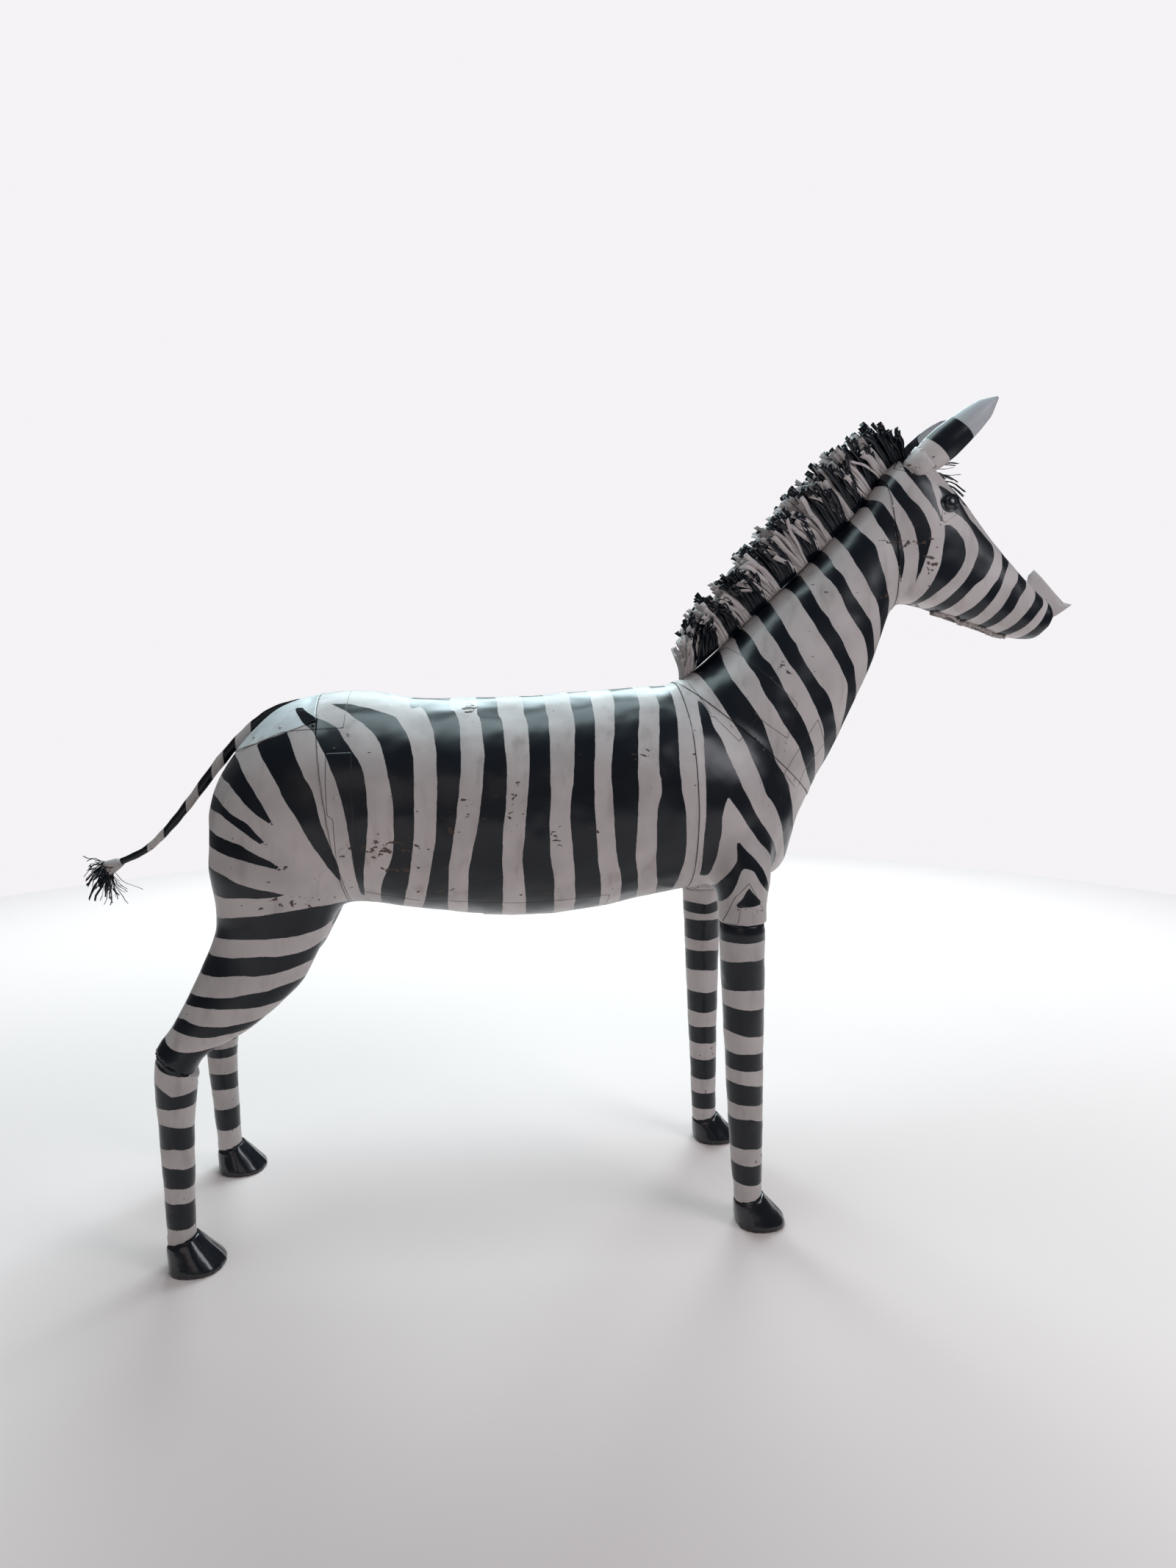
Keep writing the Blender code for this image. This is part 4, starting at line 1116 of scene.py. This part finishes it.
# Where each bunch ends along the crest, from 0 to 1, white and black in turn
MANE_BANDS = (
    0.048, 0.148, 0.196, 0.246, 0.294, 0.367, 0.416, 0.491, 0.540,
    0.591, 0.648, 0.718, 0.757, 0.810, 0.843, 0.889, 0.929, 1.000,
)
TUFT_ENDS = (0,) + MANE_BANDS
MANE_STRIPS = 200
MANE_LANES = 5
MIDDLE_LANE = (MANE_LANES - 1) / 2
MANE_SHARES = np.linspace(0, 1, 7)
RAIL_STEPS = 60
STRIP_SHEET = 0.0008


def along(points, t):
    """Place and direction at a share of a line's length."""
    line = bowed(points)
    run = np.diff(line, axis=0)
    reach = np.concatenate(((0,), np.cumsum(np.hypot(*run.T))))
    place = [np.interp(t * reach[-1], reach, line[:, k]) for k in (0, 1)]
    i = min(int(np.searchsorted(reach, t * reach[-1])), len(run) - 1)
    return Vector(place), Vector(run[i]).normalized()


def crumpled_strip(bm, layer, root, rise, broad, length, width, curl, chance, mark):
    """One cut strip, wider and torn at its top, bent over and crumpled."""
    grid = bmesh.ops.create_grid(bm, x_segments=2, y_segments=9, size=0.5)
    face_out = rise.cross(broad).normalized()
    phase = chance.uniform(0, math.tau)
    crease = chance.uniform(0.10, 0.50)
    tear = chance.uniform(-0.012, 0.012)
    for vert in grid["verts"]:
        u = vert.co.x * 2
        v = vert.co.y + 0.5
        v += tear * u * v * v
        spread = width * (0.75 + 0.45 * v) * 0.5
        place = root + rise * length * v + curl * v * v
        place += broad * spread * u
        place += face_out * (0.0030 * math.sin(phase + v * 13) * v + crease * spread * (1 - u * u))
        place += broad * 0.0025 * math.sin(phase * 2 + v * 9) * v
        vert.co = place
        vert[layer] = mark


mane = bmesh.new()
layer = mane.verts.layers.float.new("stripe")
chance = random.Random(7)
for i in range(MANE_STRIPS):
    for lane in range(MANE_LANES):
        t = min(0.999, max(0.001, (i + chance.uniform(-0.4, 0.4) + 0.5) / MANE_STRIPS))
        place, run = along(MANE_CREST, t)
        band = next(k for k, end in enumerate(MANE_BANDS) if t <= end)
        mark = 0.01 if band % 2 else -0.01
        # Strips of one white and one black bunch fan out together as a tuft
        first, after = TUFT_ENDS[band // 2 * 2], TUFT_ENDS[band // 2 * 2 + 2]
        fan = (t - first) / (after - first) * 2 - 1
        crown = 0.70 + 0.31 * math.cos(fan * 1.5)
        height = np.interp(t, MANE_SHARES, MANE_HEIGHT) * crown * chance.uniform(0.90, 1.03)
        lean = np.interp(t, MANE_SHARES, MANE_LEAN_DEGREES)
        lean = math.radians(lean + 4 - 11 * fan + chance.uniform(-4, 4))
        sideways = (lane - MIDDLE_LANE) / MIDDLE_LANE
        rise = Vector((-math.sin(lean), sideways * chance.uniform(0.10, 0.30), math.cos(lean)))
        drop = Vector((run.y, 0, -run.x)) * 0.004 * abs(sideways)
        root = Vector((place.x + STANCE, sideways * MANE_ROOT_SPREAD, place.y)) + drop
        broad = Vector((run.x, chance.uniform(-0.35, 0.35), run.y)).normalized()
        back = chance.uniform(-0.030, 0.004)
        curl = Vector((back, sideways * 0.018, chance.uniform(-0.040, -0.006)))
        rise.normalize()
        width = chance.uniform(0.008, 0.012)
        crumpled_strip(mane, layer, root, rise, broad, height, width, curl, chance, mark)
piece = made(mane, "mane_strips")
marked(piece, "scuff", 0.2)
thickened(piece, STRIP_SHEET, 0)
mane_paint = striped_paint("mane_paint", gloss=0.34)
piece.data.materials.append(mane_paint)
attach(piece, "root")
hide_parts("mane")

rail = bmesh.new()
layer = rail.verts.layers.float.new("stripe")
before = None
for i in range(RAIL_STEPS + 1):
    t = i / RAIL_STEPS
    place, run = along(MANE_CREST, t)
    up = Vector((-run.y, 0, run.x))
    middle = Vector((place.x + STANCE, 0, place.y))
    row = hoop(rail, middle, Vector((0, 1, 0)), up, 0.013, 0.004, 180, 10)
    band = next(k for k, end in enumerate(MANE_BANDS) if t <= end)
    for edge in row:
        for vert in edge.verts:
            vert[layer] = 0.004 if band % 2 else -0.004
    before = bridged(rail, before, row)
turned_to(rail, Vector((-0.7, 0, 0.7)))
for vert in rail.verts:
    vert.co += noise.noise_vector(vert.co * 30) * 0.0015
piece = made(rail, "mane_rail")
marked(piece, "scuff", 0.5)
thickened(piece, SHEET, -1)
piece.data.materials.append(mane_paint)
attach(piece, "root")

# Forelock: thinner strips tacked between the ears, hanging over the forehead.
# Most are black, and every fifth is white.

FORELOCK_STRIPS = 34
low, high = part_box("forelock")
lock = bmesh.new()
layer = lock.verts.layers.float.new("stripe")
chance = random.Random(11)
for i in range(FORELOCK_STRIPS):
    share = chance.uniform(-1, 1)
    root = Vector((low.x + 0.008 + chance.uniform(-0.01, 0.012), share * 0.030, high.z - 0.062))
    rise = Vector((0.72, share * 0.22, chance.uniform(0.05, 0.62))).normalized()
    curl = Vector((0.0, 0.0, chance.uniform(-0.085, -0.03)))
    length = chance.uniform(0.08, 0.135)
    width = chance.uniform(0.005, 0.009)
    mark = 0.01 if i % 5 else -0.01
    crumpled_strip(lock, layer, root, rise, Vector((0, 1, 0)), length, width, curl, chance, mark)
piece = made(lock, "forelock_strips")
marked(piece, "scuff", 0.2)
thickened(piece, STRIP_SHEET, 0)
piece.data.materials.append(mane_paint)
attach(piece, "root")
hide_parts("forelock")

# Tail: a tapered roll of sheet bolted on the croup, banded black and white.
# Its end is a flared white socket with a bunch of strips and loose wires.

# Path of the roll: place along, place up, radius
TAIL_PATH = (
    (-0.440, 1.309, 0.004), (-0.505, 1.286, 0.007), (-0.563, 1.239, 0.011), (-0.630, 1.165, 0.0125),
    (-0.706, 1.066, 0.011), (-0.762, 0.998, 0.0095), (-0.815, 0.948, 0.0085), (-0.874, 0.919, 0.008),
)
# Ends of the tail's bands as places along x, black and white in turn from the root
TAIL_BANDS = (-0.40, -0.557, -0.594, -0.624, -0.653, -0.686, -0.716, -0.771, -0.811, -0.95)
SOCKET_LENGTH = 0.036
SOCKET_ROOT_RADIUS = 0.010
SOCKET_RADIUS = 0.019
SOCKET_STEPS = 6
ROLL_SIDES = 20
TUFT_STRIPS = 60
LOOSE_WIRES = 10


def round_roll(name, rows, sides):
    """Closed round tube through rows of x, z and radius in the middle plane."""
    roll = bmesh.new()
    before = None
    for i, (x, z, radius) in enumerate(rows):
        next_x, next_z, _ = rows[min(i + 1, len(rows) - 1)]
        last_x, last_z, _ = rows[max(i - 1, 0)]
        run = Vector((next_x - last_x, 0, next_z - last_z))
        turn = run.to_track_quat("Z", "Y").to_matrix().to_4x4()
        place = Matrix.Translation((x + STANCE, 0, z)) @ turn
        ring = bmesh.ops.create_circle(roll, segments=sides, radius=radius, matrix=place)
        edges = dict.fromkeys(edge for vert in ring["verts"] for edge in vert.link_edges)
        before = bridged(roll, before, list(edges))
    bmesh.ops.holes_fill(roll, edges=roll.edges, sides=0)
    bmesh.ops.recalc_face_normals(roll, faces=roll.faces)
    return made(roll, name)


side_view = bowed([row[:2] for row in TAIL_PATH], 8)
radii = [row[2] for row in TAIL_PATH]
fine_path = []
for t, (x, z) in zip(np.linspace(0, 7, len(side_view)), side_view):
    radius = np.interp(t, range(8), radii)
    fine_path.append((x, z, radius * (1 + 0.05 * math.sin(t * 11))))
piece = round_roll("tail_roll", fine_path, ROLL_SIDES)
_, spots = side_spots(piece)
along_x = spots[:, 0]
stripe = np.full(len(spots), -REACH)
for root_end, tuft_end in zip(TAIL_BANDS[::2], TAIL_BANDS[1::2]):
    stripe = np.maximum(stripe, np.minimum(root_end - along_x, along_x - tuft_end))
marked(piece, "stripe", stripe)
marked(piece, "scuff", 0.3)
piece.data.materials.append(leg_paint)
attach(piece, "root")
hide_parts("tail")

last = Vector(TAIL_PATH[-1][:2])
run = (last - Vector(TAIL_PATH[-2][:2])).normalized()
rows = []
for k in range(SOCKET_STEPS + 1):
    t = k / SOCKET_STEPS
    x, z = last + run * (0.0003 + SOCKET_LENGTH * t)
    rows.append((x, z, SOCKET_ROOT_RADIUS + (SOCKET_RADIUS - SOCKET_ROOT_RADIUS) * t**0.8))
piece = round_roll("tuft_socket", rows, ROLL_SIDES)
marked(piece, "stripe", -0.02)
marked(piece, "scuff", 0.5)
piece.data.materials.append(leg_paint)
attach(piece, "root")

tuft = bmesh.new()
layer = tuft.verts.layers.float.new("stripe")
chance = random.Random(5)
end = last + run * SOCKET_LENGTH
forward = Vector((run.x, 0, run.y))
inside_socket = Vector((end.x + STANCE, 0, end.y))
for i in range(TUFT_STRIPS):
    angle = math.tau * i / TUFT_STRIPS + chance.uniform(-0.1, 0.1)
    around = Vector((-run.y * math.cos(angle), math.sin(angle), run.x * math.cos(angle)))
    root = inside_socket - forward * 0.010 + around * 0.010
    rise = (forward * chance.uniform(0.5, 1.0) + around * chance.uniform(0.2, 0.8)).normalized()
    broad = forward.cross(around).normalized()
    length = chance.uniform(0.040, 0.066)
    width = chance.uniform(0.003, 0.006)
    aside = (chance.uniform(0.0, 0.022), chance.uniform(-0.012, 0.012), chance.uniform(-0.040, 0.0))
    mark = 0.01 if chance.random() < 0.85 else -0.01
    crumpled_strip(tuft, layer, root, rise, broad, length, width, Vector(aside), chance, mark)
for i in range(LOOSE_WIRES):
    # Loose wires that have slipped out of the bunch and hang from it
    root = inside_socket - forward * 0.006
    root += Vector((0, chance.uniform(-0.010, 0.010), chance.uniform(-0.010, 0.006)))
    rise = Vector((chance.uniform(-0.4, 0.3), chance.uniform(-0.3, 0.3), -1)).normalized()
    curl = Vector((chance.uniform(-0.01, 0.05), chance.uniform(-0.02, 0.02), 0.012))
    length = chance.uniform(0.05, 0.10)
    crumpled_strip(tuft, layer, root, rise, Vector((1, 0, 0)), length, 0.0016, curl, chance, 0.01)
piece = made(tuft, "tuft_strips")
marked(piece, "scuff", 0.2)
thickened(piece, STRIP_SHEET, 0)
piece.data.materials.append(mane_paint)
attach(piece, "root")
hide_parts("tail_tuft")

# Rivets: small domed heads along the seams and on the laid sheets, the same on both sides.
# They are brushed over with the stripes that they sit in.

RIVETS = (
    (0.553, 1.272), (0.660, 1.275), (0.740, 1.205), (-0.300, 1.235), (-0.330, 1.205),
    (-0.325, 1.100), (-0.318, 0.980), (-0.306, 0.880), (1.165, 1.775), (1.060, 1.895),
    (1.085, 1.915), (1.120, 1.895), (0.500, 1.240), (0.503, 1.120), (0.506, 1.000),
    (0.600, 1.248), (0.770, 1.110), (-0.455, 1.250), (-0.520, 1.225), (1.030, 1.790),
    (1.050, 1.640), (0.600, 0.812), (0.650, 0.806), (-0.380, 1.255),
)
RIVET_RADIUS = 0.0042

heads = bmesh.new()
for x, z in RIVETS:
    for side in (-1, 1):
        hit, normal, _, _ = body_tree.ray_cast(Vector((x + STANCE, side, z)), Vector((0, -side, 0)))
        if hit is None:
            continue
        turn = normal.to_track_quat("Z", "Y").to_matrix().to_4x4()
        flat = Matrix.Diagonal((1, 1, 0.5, 1))
        seat = Matrix.Translation(hit + normal * 0.0008) @ turn @ flat
        size = {"u_segments": 10, "v_segments": 6, "radius": RIVET_RADIUS}
        bmesh.ops.create_uvsphere(heads, matrix=seat, **size)
piece = made(heads, "rivets")
_, spots = side_spots(piece)
marked(piece, "stripe", most_inside(spots, black_outlines))
marked(piece, "scuff", 0.5)
piece.data.materials.append(leg_paint)
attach(piece, "root")

# Floor, light and camera: a pale studio, brightest behind and above the back.

floor = bmesh.new()
bmesh.ops.create_circle(floor, cap_ends=True, segments=96, radius=5.0)
bmesh.ops.recalc_face_normals(floor, faces=floor.faces)
ground = made(floor, "studio_floor")
pale, pale_tree, pale_shader, floor_place = blank_paint("pale_floor")
clouds = mottle(pale_tree, floor_place, 1.5, 3)
floor_colour = mixed(pale_tree, clouds, (0.92, 0.78, 0.75), (0.94, 0.80, 0.77))
pale_tree.links.new(floor_colour, pale_shader.inputs["Base Color"])
pale_shader.inputs["Roughness"].default_value = 0.9
# The far floor glows a little, as if lit by the rest of the studio
reach = pale_tree.nodes.new("ShaderNodeVectorMath")
reach.operation = "LENGTH"
pale_tree.links.new(floor_place, reach.inputs[0])
glow = sum_of(pale_tree, "MULTIPLY", eased(pale_tree, reach.outputs["Value"], 0.9, 4.4), 0.40)
pale_tree.links.new(glow, pale_shader.inputs["Emission Strength"])
pale_shader.inputs["Emission Color"].default_value = (0.98, 0.97, 1.0, 1.0)
ground.data.materials.append(pale)

world = bpy.data.worlds.new("studio")
world.use_nodes = True
bpy.context.scene.world = world
sky_tree = world.node_tree
sky = sky_tree.nodes["Background"]
sky.inputs["Color"].default_value = (0.95, 0.93, 0.95, 1.0)
seen = sky_tree.nodes.new("ShaderNodeLightPath").outputs["Is Camera Ray"]
sky_tree.links.new(sum_of(sky_tree, "MULTIPLY_ADD", seen, 0.86, 0.10), sky.inputs["Strength"])


def lamp(name, place, target, size, power, colour):
    """Soft panel of light aimed at a place."""
    data = bpy.data.lights.new(name, "AREA")
    data.shape = "RECTANGLE"
    data.size, data.size_y = size
    data.energy = power
    data.color = colour
    light = bpy.data.objects.new(name, data)
    light.location = place
    light.rotation_euler = (Vector(target) - Vector(place)).to_track_quat("-Z", "Y").to_euler()
    bpy.context.collection.objects.link(light)


lamp("window_behind", (0.3, 3.6, 4.2), (0, 0, 1.2), (5.0, 2.4), 260, (0.76, 0.95, 1.0))
lamp("top_soft", (-0.2, 0.3, 4.8), (0, 0, 1.0), (3.6, 1.6), 95, (0.76, 0.95, 1.0))
lamp("front_fill", (-1.5, -4.5, 2.4), (0, 0, 0.9), (3.0, 2.4), 14, (1.0, 0.84, 0.82))
lamp("head_fill", (2.7, -1.9, 3.0), (1.15, 0, 1.65), (1.6, 1.6), 38, (0.93, 0.93, 1.0))
bpy.context.scene.view_settings.view_transform = "Standard"

# The photo is 2133 pixels high, and its lens was fitted at 1230 of them
PHOTO_HEIGHT = 2133
PHOTO_LENS = 1230
CAMERA_DIP_DEGREES = 6.44
CAMERA_TURN_DEGREES = 7.43
optics = bpy.data.cameras.new("camera")
optics.sensor_fit = "VERTICAL"
optics.sensor_height = 36
optics.lens = optics.sensor_height * PHOTO_LENS / PHOTO_HEIGHT
optics.clip_end = 200
camera = bpy.data.objects.new("camera", optics)
camera.location = (-0.029 + STANCE, -2.294, 1.353)
camera.rotation_euler = (math.radians(90 - CAMERA_DIP_DEGREES), 0, math.radians(-CAMERA_TURN_DEGREES))
bpy.context.collection.objects.link(camera)
bpy.context.scene.camera = camera
